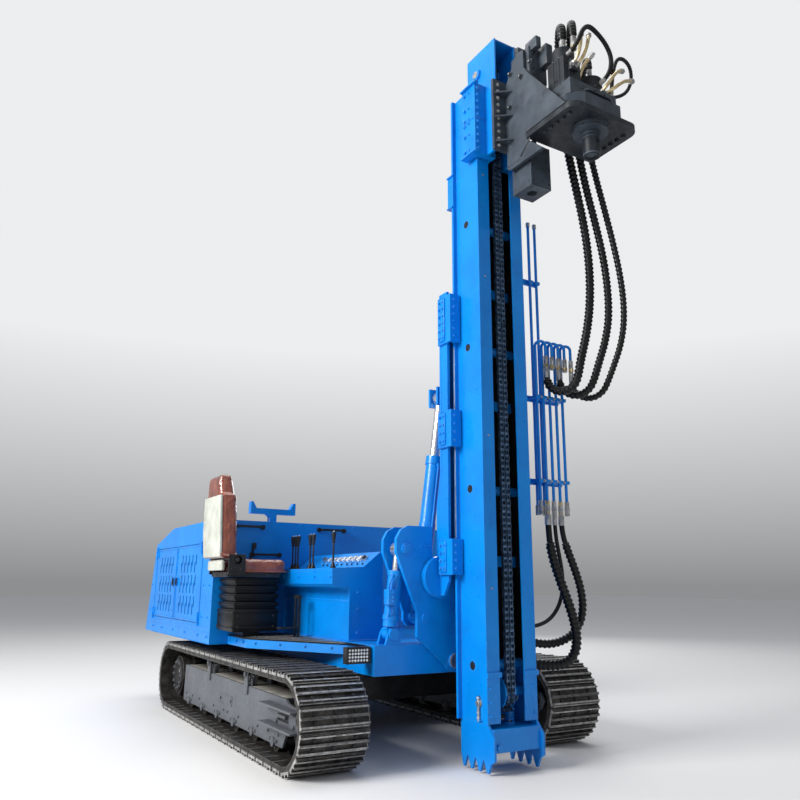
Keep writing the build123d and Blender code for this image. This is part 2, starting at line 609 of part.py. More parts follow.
with BuildPart() as foot:
    teeth = [(mast_rear_x + 5, foot_top_z), (mast_rear_x + 5, 90)]
    tooth_pitch = 82
    for i in range(4):
        start = mast_rear_x + 5 + i * tooth_pitch
        teeth += [(start + 22, 12), (start + 34, 12), (start + 58, 70), (start + 70, 88)]
    teeth[-2:] = [(start + 46, 40), (start + 62, 70)]
    teeth += [(mast_front_x + 60, 90), (mast_front_x + 60, 215), (mast_front_x - 5, foot_top_z)]
    for y in (mast_side[0], mast_side[1] - 16):
        side_plate(teeth, y, y + 16)
    block(mast_front_x + 20, mast_front_x + 36, mast_side[0] + 16, mast_side[1] - 16, 130, 262)
    block(mast_rear_x + 10, mast_front_x + 20, mast_side[0] + 16, mast_side[1] - 16, 250, 262)
    bar("X", mast_front_x + 44, mast_side[0] + 50, 160, 20, 20)
save(foot, "mast_foot")

with BuildPart() as chain_wheels:
    for z, reach in ((chain_low_z, mast_width - 2 * mast_wall - 0.6), (chain_high_z, 2 * box_half)):
        bar("Y", chain_x, mast_y, z, sprocket_radius - 1, 54)
        for off in (-38, 38):
            bar("Y", chain_x, mast_y + off, z, sprocket_radius + chain_thickness, 10)
        bar("Y", chain_x, mast_y, z, 30, reach)
save(chain_wheels, "chain_wheels")

with BuildPart() as chain:
    chain_plane = Plane(origin=(chain_x, mast_y + 31, (chain_low_z + chain_high_z) / 2),
                        x_dir=(0, 0, 1), z_dir=(0, -1, 0))
    with BuildSketch(chain_plane):
        SlotCenterToCenter(chain_high_z - chain_low_z, 2 * (sprocket_radius + chain_thickness))
        SlotCenterToCenter(chain_high_z - chain_low_z, 2 * sprocket_radius, mode=Mode.SUBTRACT)
    extrude(amount=62)
save(chain, "lift_chain")

# Steel pipes on the mast's left side. Each of the short ones ends in a bend that turns down to a hose.
pipe_x = mast_front_x - 130
pipe_low_z = 1680
pipe_radius = 11
bend_top_z = 2860
outlet_z = 2750
fitting_length = 70
bent_pipes = [404, 466, 528, 590, 652]  # places from the mast's centre
tall_pipes = [(-62, 430), (-62, 495)]  # places from the bent pipes' plane and the mast's centre
tall_top_z = 3900
with BuildPart() as pipes:
    for off in bent_pipes:
        low = Vector(pipe_x, mast_y + off, pipe_low_z)
        run = Vector(50, 56, 0)
        rise = Vector(0, 0, bend_top_z - pipe_low_z)
        with BuildPart():
            with BuildLine():
                Line(low, low + rise)
                ThreePointArc(low + rise, low + rise + run / 2 + Vector(0, 0, run.length / 2), low + rise + run)
                Line(low + rise + run, Vector(low.X + run.X, low.Y + run.Y, outlet_z))
            with BuildSketch(Plane(origin=low, z_dir=(0, 0, 1))):
                Circle(pipe_radius)
            sweep()
    for x, off in tall_pipes:
        bar("Z", pipe_x + x, mast_y + off, (pipe_low_z + tall_top_z) / 2, pipe_radius, tall_top_z - pipe_low_z)
save(pipes, "steel_pipes")

with BuildPart() as pipe_bars:
    for z, reach in ((1850, 680), (2470, 680), (3400, 520)):
        block(pipe_x - 62 - pipe_radius - 16, pipe_x - 62 - pipe_radius, mast_side[1], mast_y + reach,
              z - 22, z + 22)
        if z < bend_top_z:
            block(pipe_x - 62 - pipe_radius, pipe_x - pipe_radius, mast_y + 384, mast_y + reach,
                  z - 10, z + 10)
            for off in bent_pipes:
                block(pipe_x - pipe_radius, pipe_x + 17, mast_y + off - 17, mast_y + off + 17, z - 10, z + 10)
                bar("Z", pipe_x, mast_y + off, z, pipe_radius, 30, mode=Mode.SUBTRACT)
        for x, off in tall_pipes:
            bar("Z", pipe_x + x, mast_y + off, z, pipe_radius, 60, mode=Mode.SUBTRACT)
save(pipe_bars, "pipe_brackets")

with BuildPart() as fittings:
    for off in bent_pipes:
        bar("Z", pipe_x, mast_y + off, pipe_low_z - fitting_length / 2, 17, fitting_length)
        bar("Z", pipe_x + 50, mast_y + off + 56, outlet_z - fitting_length / 2, 17, fitting_length)
    for x, off in tall_pipes:
        bar("Z", pipe_x + x, mast_y + off, pipe_low_z - fitting_length / 2, 17, fitting_length)
save(fittings, "pipe_fittings")

# ---------------------------------------------------------------- drive head on the mast
head_z = (4180, 4760)
head_back_x = mast_front_x + 140
slab_x = (mast_front_x + 7, head_back_x)
with BuildPart() as clamps:
    for y, inward in ((mast_side[0], 1), (mast_side[1], -1)):
        slab = sorted((y - inward * 55, y + inward * 125))
        outer = sorted((y - inward * 55, y - inward * 8))
        inner = sorted((y + inward * 106, y + inward * 125))
        lip = sorted((y + inward * 50, y + inward * 125))
        block(slab_x[0], slab_x[0] + 50, *slab, *head_z)
        block(slab_x[0] - 110, slab_x[0], *outer, *head_z)
        block(slab_x[0] - 75, slab_x[0], *inner, *head_z)
        block(slab_x[0] - 75, slab_x[0] - 45, *lip, *head_z)
        web = sorted((y + inward * 45, y + inward * 65))
        block(slab_x[0] + 50, head_back_x, *web, *head_z)
save(clamps, "mast_clamps")

plate_y = (mast_y - 50, mast_y - 26)
base_plate_z = (4170, 4210)
base_plate_x = (front_x - 470, front_x)
base_plate_y = (mast_y - 60, mast_y + 560)
with BuildPart() as head_frame:
    block(head_back_x, head_back_x + 24, mast_side[0] + 35, mast_side[1] - 35, *head_z)
    flank = [(24, 4040), (24, 4720), (160, 4920), (235, 4910), (235, 4760), (275, 4700), (620, 4210),
             (245, 4210), (245, 4165), (400, 4020), (60, 4020)]
    side_plate([(head_back_x + x, z) for x, z in flank], *plate_y)
    for z in (4240, 4440, 4640):
        rib = [(head_back_x + 24, mast_side[0] + 45), (head_back_x + 110, plate_y[0]),
               (head_back_x + 24, plate_y[0])]
        floor_plate(rib, z, z + 12)
save(head_frame, "head_frame")

spindle_x = track_x + 2690
spindle_y = mast_y + 245
spindle_radius = 58
with BuildPart() as base_plate:
    block(*base_plate_x, *base_plate_y, *base_plate_z)
    fillet(base_plate.edges().filter_by(Axis.Z).group_by(Axis.X)[-1], 85)
    bar("Z", spindle_x, spindle_y, 4190, 75, 60, mode=Mode.SUBTRACT)
    for y in (base_plate_y[0] + 60, base_plate_y[1] - 60):
        for x in (-60, 0, 60, 120):
            bar("Z", spindle_x - 60 + x, y, 4162, 14, 16)
save(base_plate, "head_base_plate")

gear_y = (spindle_y - 255, spindle_y + 255)
gear_x = (base_plate_x[0] + 20, base_plate_x[1] - 30)
with BuildPart() as gearbox:
    corner = 90
    octagon = [(gear_x[0], gear_y[0] + corner), (gear_x[0] + corner, gear_y[0]), (gear_x[1] - corner, gear_y[0]),
               (gear_x[1], gear_y[0] + corner), (gear_x[1], gear_y[1] - corner), (gear_x[1] - corner, gear_y[1]),
               (gear_x[0] + corner, gear_y[1]), (gear_x[0], gear_y[1] - corner)]
    floor_plate(octagon, 4210, 4330)
    block(gear_x[0] + 40, gear_x[1] - 60, gear_y[0] + 20, gear_y[1] - 60, 4330, 4450)
    bar("Z", spindle_x, spindle_y, 4150, 120, 40)
    bar("Z", spindle_x, spindle_y, 4190, 74, 40)
    bar("Z", spindle_x, spindle_y, 4180, spindle_radius + running_fit, 200, mode=Mode.SUBTRACT)
save(gearbox, "gearbox")

motor_table = [(-130, 78, 4780), (120, 84, 4640)]  # offset from the spindle in Y, radius, top
with BuildPart() as motors:
    for off, radius, top in motor_table:
        y = spindle_y + off
        block(spindle_x - 170, spindle_x - 10, y - radius, y + radius, 4450, top - 90)
        bar("Z", spindle_x - 90, y, (4450 + top) / 2, radius, top - 4450)
save(motors, "head_motors")

tube_x = (head_back_x + 26, head_back_x + 226)
tube_y = (plate_y[1] + 20, plate_y[1] + 200)
with BuildPart() as guide_tube:
    block(*tube_x, *tube_y, 3840, 4168)
    bar("Z", sum(tube_x) / 2, sum(tube_y) / 2, 4000, 36, 400, mode=Mode.SUBTRACT)
    block(head_back_x + 24, tube_x[0], tube_y[0] + 30, tube_y[0] + 60, 4180, 4400)
    block(head_back_x + 24, tube_x[1], tube_y[0] + 30, tube_y[0] + 60, 4168, 4200)
save(guide_tube, "guide_tube")

spindle_end_z = 3960
pin_hole_radius = 10
with BuildPart() as spindle:
    bar("Z", spindle_x, spindle_y, (spindle_end_z + 4270) / 2, spindle_radius, 4270 - spindle_end_z)
    bar("Z", spindle_x, spindle_y, spindle_end_z + 80, 40, 180, mode=Mode.SUBTRACT)
    bar("X", spindle_x, spindle_y, spindle_end_z + 90, pin_hole_radius, 200, mode=Mode.SUBTRACT)
save(spindle, "spindle")

# Hose ports on the head
port_table = [  # x, y from the spindle, level, axis
    (-90, -130, 4780), (-20, -95, 4780), (-90, 120, 4640),
]
with BuildPart() as ports:
    for x, y, z in port_table:
        bar("Z", spindle_x + x, spindle_y + y, z + 15, 22, 30)
save(ports, "head_ports")

# ---------------------------------------------------------------- free hoses
hose_table = {  # radius, then points from the tracks' centre and the centre plane
    "head_hose_inner": (33, [
        (2600, 245, 4810), (2600, 245, 4952), (2560, 278, 5042), (2489, 334, 5094), (2409, 399, 5094),
        (2338, 455, 5042), (2298, 488, 4952), (2296, 492, 4820), (2294, 500, 4660), (2286, 525, 4460),
        (2264, 585, 4240), (2230, 675, 4020), (2190, 770, 3800), (2155, 838, 3570), (2135, 862, 3340),
        (2127, 848, 3120), (2119, 805, 2910), (2108, 755, 2740), (2100, 720, 2587), (2075, 703, 2529),
        (2030, 672, 2496), (1980, 638, 2496), (1935, 607, 2529), (1910, 590, 2587), (1910, 590, 2680),
    ]),
    "head_hose_middle": (30, [
        (2670, 280, 4810), (2670, 280, 4942), (2623, 321, 5051), (2542, 393, 5113), (2448, 475, 5113),
        (2367, 547, 5051), (2320, 588, 4942), (2319, 590, 4800), (2318, 594, 4640), (2314, 610, 4440),
        (2304, 655, 4220), (2283, 730, 3990), (2248, 840, 3760), (2218, 930, 3530), (2194, 982, 3300),
        (2173, 998, 3080), (2152, 967, 2890), (2132, 912, 2730), (2120, 860, 2583), (2092, 840, 2520),
        (2043, 807, 2483), (1987, 767, 2483), (1938, 734, 2520), (1910, 714, 2583), (1910, 714, 2680),
    ]),
    "head_hose_outer": (25, [
        (2600, 495, 4670), (2600, 495, 4785), (2564, 521, 4862), (2501, 566, 4907), (2429, 619, 4907),
        (2366, 664, 4862), (2330, 690, 4785), (2331, 692, 4660), (2333, 698, 4520), (2337, 722, 4320),
        (2337, 775, 4100), (2332, 845, 3880), (2319, 925, 3650), (2299, 1000, 3430), (2272, 1058, 3220),
        (2240, 1083, 3030), (2205, 1068, 2860), (2168, 1025, 2710), (2140, 980, 2581), (2109, 961, 2514),
        (2056, 928, 2475), (1994, 890, 2475), (1941, 857, 2514), (1910, 838, 2581), (1910, 838, 2680),
    ]),
    "base_hose_inner": (35, [
        (1860, 596, 1610), (1860, 596, 1450), (1872, 620, 1290), (1890, 665, 1140), (1905, 715, 1000),
        (1911, 757, 870), (1903, 780, 755), (1877, 775, 655), (1833, 725, 595), (1784, 640, 583),
        (1738, 540, 592), (1692, 440, 625), (1658, 350, 685), (1648, 275, 765), (1643, 225, 850),
        (1643, 210, 935), (1643, 210, 1020),
    ]),
    "base_hose_outer": (30, [
        (1860, 720, 1610), (1860, 720, 1500), (1872, 755, 1370), (1884, 805, 1240), (1886, 852, 1110),
        (1876, 878, 985), (1852, 873, 870), (1816, 822, 785), (1787, 745, 740), (1762, 655, 722),
        (1732, 565, 728), (1698, 475, 755), (1670, 395, 805), (1653, 335, 870), (1643, 295, 945),
        (1643, 295, 1020),
    ]),
    "base_hose_thin": (14, [
        (1860, 658, 1610), (1860, 658, 1490), (1850, 690, 1360), (1838, 728, 1230), (1822, 745, 1100),
        (1800, 725, 985), (1775, 670, 900), (1748, 595, 855), (1718, 515, 840), (1690, 445, 855),
        (1665, 395, 895), (1643, 365, 955), (1643, 365, 1020),
    ]),
}

with BuildPart() as glands:
    for name in ("base_hose_inner", "base_hose_outer", "base_hose_thin"):
        radius, route = hose_table[name]
        x, y, z = route[-1]
        bar("Z", track_x + x, centre_y + y, z + 10, radius + 3, 20)
save(glands, "hose_glands")

for name, (radius, route) in hose_table.items():
    points = [Vector(track_x + x, centre_y + y, z) for x, y, z in route]
    bends = []
    for before, here, after in zip(points, points[1:], points[2:]):
        arriving, leaving = here - before, after - here
        half_turn = radians(arriving.get_angle(leaving)) / 2
        bends.append(0.45 * min(arriving.length, leaving.length) / tan(half_turn))
    with BuildPart() as hose:
        with BuildLine() as line:
            FilletPolyline(*points, radius=bends)
        with BuildSketch(Plane(origin=points[0], z_dir=(points[1] - points[0]).normalized())):
            Circle(radius)
        sweep()
    save(hose, name)
    length = line.wires()[0].length
    ratio = hose.part.volume / (pi * radius ** 2 * length)
    print(name, "length", round(length), "volume ratio", round(ratio, 4),
          "tightest bends", [round(r) for r in sorted(bends)[:3]])
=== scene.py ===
from itertools import product
from math import cos, pi, radians, sin

import bmesh
import bpy
from mathutils import Matrix, Vector


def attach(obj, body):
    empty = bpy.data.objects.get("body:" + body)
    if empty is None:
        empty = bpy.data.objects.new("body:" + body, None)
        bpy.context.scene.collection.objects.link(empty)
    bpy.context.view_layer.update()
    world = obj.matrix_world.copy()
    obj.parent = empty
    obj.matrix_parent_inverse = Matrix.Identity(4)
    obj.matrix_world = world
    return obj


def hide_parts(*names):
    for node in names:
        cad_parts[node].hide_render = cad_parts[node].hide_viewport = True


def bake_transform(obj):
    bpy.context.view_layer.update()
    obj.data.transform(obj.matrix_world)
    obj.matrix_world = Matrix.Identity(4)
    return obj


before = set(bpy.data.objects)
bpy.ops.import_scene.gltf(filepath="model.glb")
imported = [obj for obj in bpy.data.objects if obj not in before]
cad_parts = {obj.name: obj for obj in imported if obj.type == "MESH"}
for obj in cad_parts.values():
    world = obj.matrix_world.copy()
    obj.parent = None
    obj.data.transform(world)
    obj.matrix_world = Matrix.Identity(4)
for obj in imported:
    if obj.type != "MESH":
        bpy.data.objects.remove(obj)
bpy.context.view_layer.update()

# x runs forward along the machine, y to its left and z up
forward, rightward, upward, downward = (1, 0, 0), (0, -1, 0), (0, 0, 1), (0, 0, -1)
tracksX = -0.275  # middle of the tracks, along the machine
planeY = 0.06  # centre plane of the chassis
mastY = 0.19  # centre plane of the mast

# Camera, floor and studio light

viewSettings = {
    "spot": (5.648, -2.979, 1.124),
    "heading": (-0.8607, 0.5090),
    "rise": 13.87,
    "roll": 0.45,
    "lens": 33.5,
}


def setCamera(settings):
    data = bpy.data.cameras.new("viewCamera")
    data.lens = settings["lens"]
    data.clip_end = 200
    camera = bpy.data.objects.new("viewCamera", data)
    bpy.context.scene.collection.objects.link(camera)
    rise = radians(settings["rise"])
    across = Vector((*settings["heading"], 0)).normalized()
    aim = across * cos(rise) + Vector((0, 0, sin(rise)))
    turn = aim.to_track_quat("-Z", "Y").to_matrix().to_4x4()
    roll = Matrix.Rotation(radians(settings["roll"]), 4, "Z")
    camera.matrix_world = Matrix.Translation(settings["spot"]) @ turn @ roll
    bpy.context.scene.camera = camera


studioSettings = {
    "floorSize": 60, "floorTone": (0.72, 0.72, 0.72, 1), "floorRough": 0.75,
    "skyTone": (0.92, 0.95, 1.0, 1), "skyStrength": 0.40,
    "backdropShadeToPale": ((0.27, 0.275, 0.28, 1), (0.84, 0.85, 0.86, 1)), "backdropRise": 0.30,
    "lamps": [  # name, place, target, size, power, tint
        ("keyLamp", (1.0, -11.0, 7.0), (0.2, 0, 1.8), (5, 5), 1900, (1, 0.98, 0.95)),
        ("frontLamp", (10, -1.5, 6.5), (1.2, 0.2, 2.2), (4, 5), 45, (1, 1, 1)),
        ("topLamp", (-1, 0.5, 10.5), (0, 0, 0), (7, 7), 420, (1, 1, 1)),
        ("rearLamp", (-8, 7, 5), (-0.5, 0, 1.5), (5, 4), 200, (1, 1, 1)),
    ],
}


def addLamp(name, spot, target, size, power, tint):
    data = bpy.data.lights.new(name, "AREA")
    data.shape = "RECTANGLE"
    data.size, data.size_y = size
    data.energy = power
    data.color = tint
    lamp = bpy.data.objects.new(name, data)
    bpy.context.scene.collection.objects.link(lamp)
    aim = Vector(target) - Vector(spot)
    lamp.matrix_world = Matrix.Translation(spot) @ aim.to_track_quat("-Z", "Y").to_matrix().to_4x4()


def setStudio(settings):
    bm = bmesh.new()
    bmesh.ops.create_grid(bm, x_segments=1, y_segments=1, size=settings["floorSize"])
    mesh = bpy.data.meshes.new("studioFloor")
    bm.to_mesh(mesh)
    bm.free()
    floor = bpy.data.objects.new("studioFloor", mesh)
    bpy.context.scene.collection.objects.link(floor)
    pale = bpy.data.materials.new("paleFloor")
    pale.use_nodes = True
    shader = pale.node_tree.nodes["Principled BSDF"]
    shader.inputs["Base Color"].default_value = settings["floorTone"]
    shader.inputs["Roughness"].default_value = settings["floorRough"]
    mesh.materials.append(pale)
    world = bpy.data.worlds.new("studioWorld")
    world.use_nodes = True
    nodes, links = world.node_tree.nodes, world.node_tree.links
    back = nodes["Background"]
    back.inputs["Color"].default_value = settings["skyTone"]
    back.inputs["Strength"].default_value = settings["skyStrength"]
    # The backdrop that the camera sees is paler than the light it gives; towards the horizon it darkens to
    # grey, painted shade that matches the far floor
    seen = nodes.new("ShaderNodeBackground")
    rays = nodes.new("ShaderNodeLightPath")
    both = nodes.new("ShaderNodeMixShader")
    height = nodes.new("ShaderNodeSeparateXYZ")
    rise = nodes.new("ShaderNodeValToRGB")
    links.new(nodes.new("ShaderNodeTexCoord").outputs["Generated"], height.inputs[0])
    links.new(height.outputs["Z"], rise.inputs[0])
    rise.color_ramp.elements[0].color, rise.color_ramp.elements[1].color = settings["backdropShadeToPale"]
    rise.color_ramp.elements[1].position = settings["backdropRise"]
    links.new(rise.outputs[0], seen.inputs["Color"])
    links.new(rays.outputs["Is Camera Ray"], both.inputs[0])
    links.new(back.outputs[0], both.inputs[1])
    links.new(seen.outputs[0], both.inputs[2])
    links.new(both.outputs[0], nodes["World Output"].inputs["Surface"])
    bpy.context.scene.world = world
    bpy.context.scene.view_settings.view_transform = "Standard"
    for lamp in settings["lamps"]:
        addLamp(*lamp)


setCamera(viewSettings)
setStudio(studioSettings)
print("camera, floor and lights are set")

# Finishes: one recipe, tuned for each surface
# tones run from dark to light, and patch is the scale of their clouds
# grain and ripple are a scale and a height, grime is a tone, a threshold and a scale
# the edge entry is a tone, a width along the edges and how strong it gets; its lighter tone is partly real
# wear and partly a painted edge highlight

finishTable = {
    "blue_paint": {
        "tones": [(0.0, 0.180, 0.615), (0.0, 0.212, 0.685), (0.0, 0.240, 0.745)], "patch": 2.6,
        "rough": (0.26, 0.42), "metal": 0.0, "coat": 0.25, "grain": (260, 0.03), "ripple": (9, 0.012),
        "grime": ((0.001, 0.135, 0.49), 0.56, 3.2), "wearAndHighlight": ((0.16, 0.36, 0.70), 0.0035, 0.55),
    },
    "slate_paint": {
        "tones": [(0.026, 0.034, 0.046), (0.042, 0.055, 0.072), (0.066, 0.084, 0.106)], "patch": 7,
        "rough": (0.36, 0.58), "metal": 0.0, "coat": 0.15, "grain": (220, 0.09), "ripple": (30, 0.03),
        "grime": ((0.012, 0.013, 0.016), 0.58, 9), "wearAndHighlight": ((0.16, 0.17, 0.19), 0.003, 0.6),
    },
    # motor_paint is dark paint made darker still, partly as painted shade for the head's underside
    "motor_paint": {
        "tones": [(0.008, 0.011, 0.015), (0.017, 0.022, 0.028), (0.034, 0.042, 0.051)], "patch": 11,
        "rough": (0.32, 0.54), "metal": 0.0, "coat": 0.0, "grain": (420, 0.12), "ripple": (60, 0.04),
        "grime": ((0.007, 0.008, 0.010), 0.55, 16), "wearAndHighlight": ((0.14, 0.15, 0.16), 0.0025, 0.6),
    },
    "track_steel": {
        "tones": [(0.020, 0.019, 0.018), (0.046, 0.043, 0.040), (0.098, 0.092, 0.086)], "patch": 14,
        "rough": (0.34, 0.62), "metal": 0.6, "coat": 0.0, "grain": (300, 0.22), "ripple": (48, 0.09),
        "grime": ((0.040, 0.031, 0.024), 0.58, 22), "wearAndHighlight": ((0.58, 0.56, 0.53), 0.0045, 0.9),
    },
    "frame_paint": {
        "tones": [(0.080, 0.090, 0.104), (0.098, 0.109, 0.125), (0.116, 0.128, 0.145)], "patch": 4,
        "rough": (0.36, 0.56), "metal": 0.05, "coat": 0.1, "grain": (240, 0.08), "ripple": (20, 0.02),
        "grime": ((0.075, 0.080, 0.086), 0.60, 7), "wearAndHighlight": ((0.34, 0.34, 0.34), 0.003, 0.6),
    },
    "black_paint": {
        "tones": [(0.006, 0.006, 0.007), (0.012, 0.012, 0.013), (0.024, 0.024, 0.026)], "patch": 9,
        "rough": (0.34, 0.56), "metal": 0.0, "coat": 0.2, "grain": (260, 0.10), "ripple": (30, 0.03),
        "grime": ((0.05, 0.045, 0.04), 0.70, 14), "wearAndHighlight": ((0.13, 0.13, 0.13), 0.0025, 0.6),
    },
    "chrome": {
        "tones": [(0.68, 0.69, 0.71), (0.80, 0.81, 0.83), (0.88, 0.89, 0.90)], "patch": 5,
        "rough": (0.12, 0.30), "metal": 0.9, "coat": 0.0, "grain": (500, 0.02), "ripple": (9, 0.01),
        "grime": ((0.42, 0.41, 0.39), 0.66, 24), "wearAndHighlight": ((0.90, 0.90, 0.90), 0.001, 0.3),
    },
    "steel": {
        "tones": [(0.26, 0.26, 0.26), (0.42, 0.42, 0.42), (0.58, 0.58, 0.57)], "patch": 18,
        "rough": (0.26, 0.52), "metal": 0.85, "coat": 0.0, "grain": (420, 0.10), "ripple": (60, 0.04),
        "grime": ((0.10, 0.085, 0.070), 0.62, 30), "wearAndHighlight": ((0.80, 0.79, 0.77), 0.002, 0.7),
    },
    "rubber": {
        "tones": [(0.0015, 0.0015, 0.002), (0.003, 0.003, 0.0035), (0.006, 0.006, 0.0065)], "patch": 12,
        "rough": (0.30, 0.46), "metal": 0.0, "coat": 0.08, "grain": (520, 0.10), "ripple": (50, 0.03),
        "grime": ((0.008, 0.008, 0.008), 0.74, 20), "wearAndHighlight": ((0.012, 0.012, 0.012), 0.002, 0.2),
    },
    "leather": {
        "tones": [(0.120, 0.026, 0.014), (0.205, 0.050, 0.027), (0.310, 0.090, 0.050)], "patch": 9,
        "rough": (0.20, 0.46), "metal": 0.0, "coat": 1.0, "grain": (340, 0.14), "ripple": (19, 0.42),
        "grime": ((0.70, 0.46, 0.36), 0.70, 22), "wearAndHighlight": ((0.56, 0.24, 0.14), 0.003, 0.4),
    },
    "board": {
        "tones": [(0.42, 0.44, 0.39), (0.52, 0.54, 0.48), (0.64, 0.65, 0.60)], "patch": 10,
        "rough": (0.30, 0.55), "metal": 0.0, "coat": 0.25, "grain": (300, 0.08), "ripple": (26, 0.12),
        "grime": ((0.36, 0.38, 0.33), 0.66, 18), "wearAndHighlight": ((0.78, 0.80, 0.75), 0.003, 0.4),
    },
    "black_plastic": {
        "tones": [(0.008, 0.008, 0.008), (0.014, 0.014, 0.015), (0.022, 0.022, 0.023)], "patch": 14,
        "rough": (0.28, 0.46), "metal": 0.0, "coat": 0.1, "grain": (700, 0.10), "ripple": (60, 0.02),
        "grime": ((0.05, 0.048, 0.044), 0.74, 20), "wearAndHighlight": ((0.06, 0.06, 0.06), 0.0015, 0.4),
    },
    "brass": {
        "tones": [(0.52, 0.40, 0.20), (0.66, 0.53, 0.30), (0.80, 0.70, 0.46)], "patch": 24,
        "rough": (0.20, 0.42), "metal": 0.95, "coat": 0.0, "grain": (520, 0.06), "ripple": (70, 0.03),
        "grime": ((0.20, 0.12, 0.035), 0.60, 34), "wearAndHighlight": ((0.92, 0.74, 0.38), 0.0015, 0.5),
    },
    # dusty_top is a pale beige; on the track frames it is painted light on their lit top faces
    "dusty_top": {
        "tones": [(0.20, 0.20, 0.185), (0.33, 0.32, 0.29), (0.44, 0.42, 0.37)], "patch": 9,
        "rough": (0.55, 0.80), "metal": 0.0, "coat": 0.0, "grain": (320, 0.16), "ripple": (40, 0.05),
        "grime": ((0.12, 0.115, 0.105), 0.56, 12), "wearAndHighlight": ((0.40, 0.40, 0.38), 0.002, 0.4),
    },
    "dial_white": {
        "tones": [(0.62, 0.63, 0.62), (0.74, 0.75, 0.74), (0.82, 0.83, 0.82)], "patch": 12,
        "rough": (0.16, 0.30), "metal": 0.0, "coat": 0.6, "grain": (500, 0.02), "ripple": (30, 0.01),
        "grime": ((0.45, 0.45, 0.42), 0.70, 30), "wearAndHighlight": ((0.85, 0.85, 0.85), 0.001, 0.2),
    },
    "lens": {
        "tones": [(0.66, 0.68, 0.68), (0.82, 0.84, 0.84), (0.92, 0.93, 0.93)], "patch": 60,
        "rough": (0.06, 0.18), "metal": 0.1, "coat": 0.9, "grain": (500, 0.02), "ripple": (80, 0.04),
        "grime": ((0.40, 0.42, 0.42), 0.62, 70), "wearAndHighlight": ((0.95, 0.95, 0.95), 0.001, 0.3),
    },
    "worn_steel": {
        "tones": [(0.20, 0.20, 0.20), (0.40, 0.40, 0.39), (0.62, 0.61, 0.60)], "patch": 26,
        "rough": (0.26, 0.50), "metal": 0.6, "coat": 0.0, "grain": (420, 0.12), "ripple": (90, 0.06),
        "grime": ((0.05, 0.042, 0.036), 0.52, 30), "wearAndHighlight": ((0.75, 0.74, 0.72), 0.002, 0.6),
    },
    "chain_steel": {
        "tones": [(0.030, 0.060, 0.110), (0.070, 0.130, 0.230), (0.140, 0.240, 0.380)], "patch": 22,
        "rough": (0.26, 0.48), "metal": 0.6, "coat": 0.1, "grain": (420, 0.08), "ripple": (60, 0.03),
        "grime": ((0.006, 0.007, 0.010), 0.58, 30), "wearAndHighlight": ((0.20, 0.28, 0.40), 0.002, 0.8),
    },
}


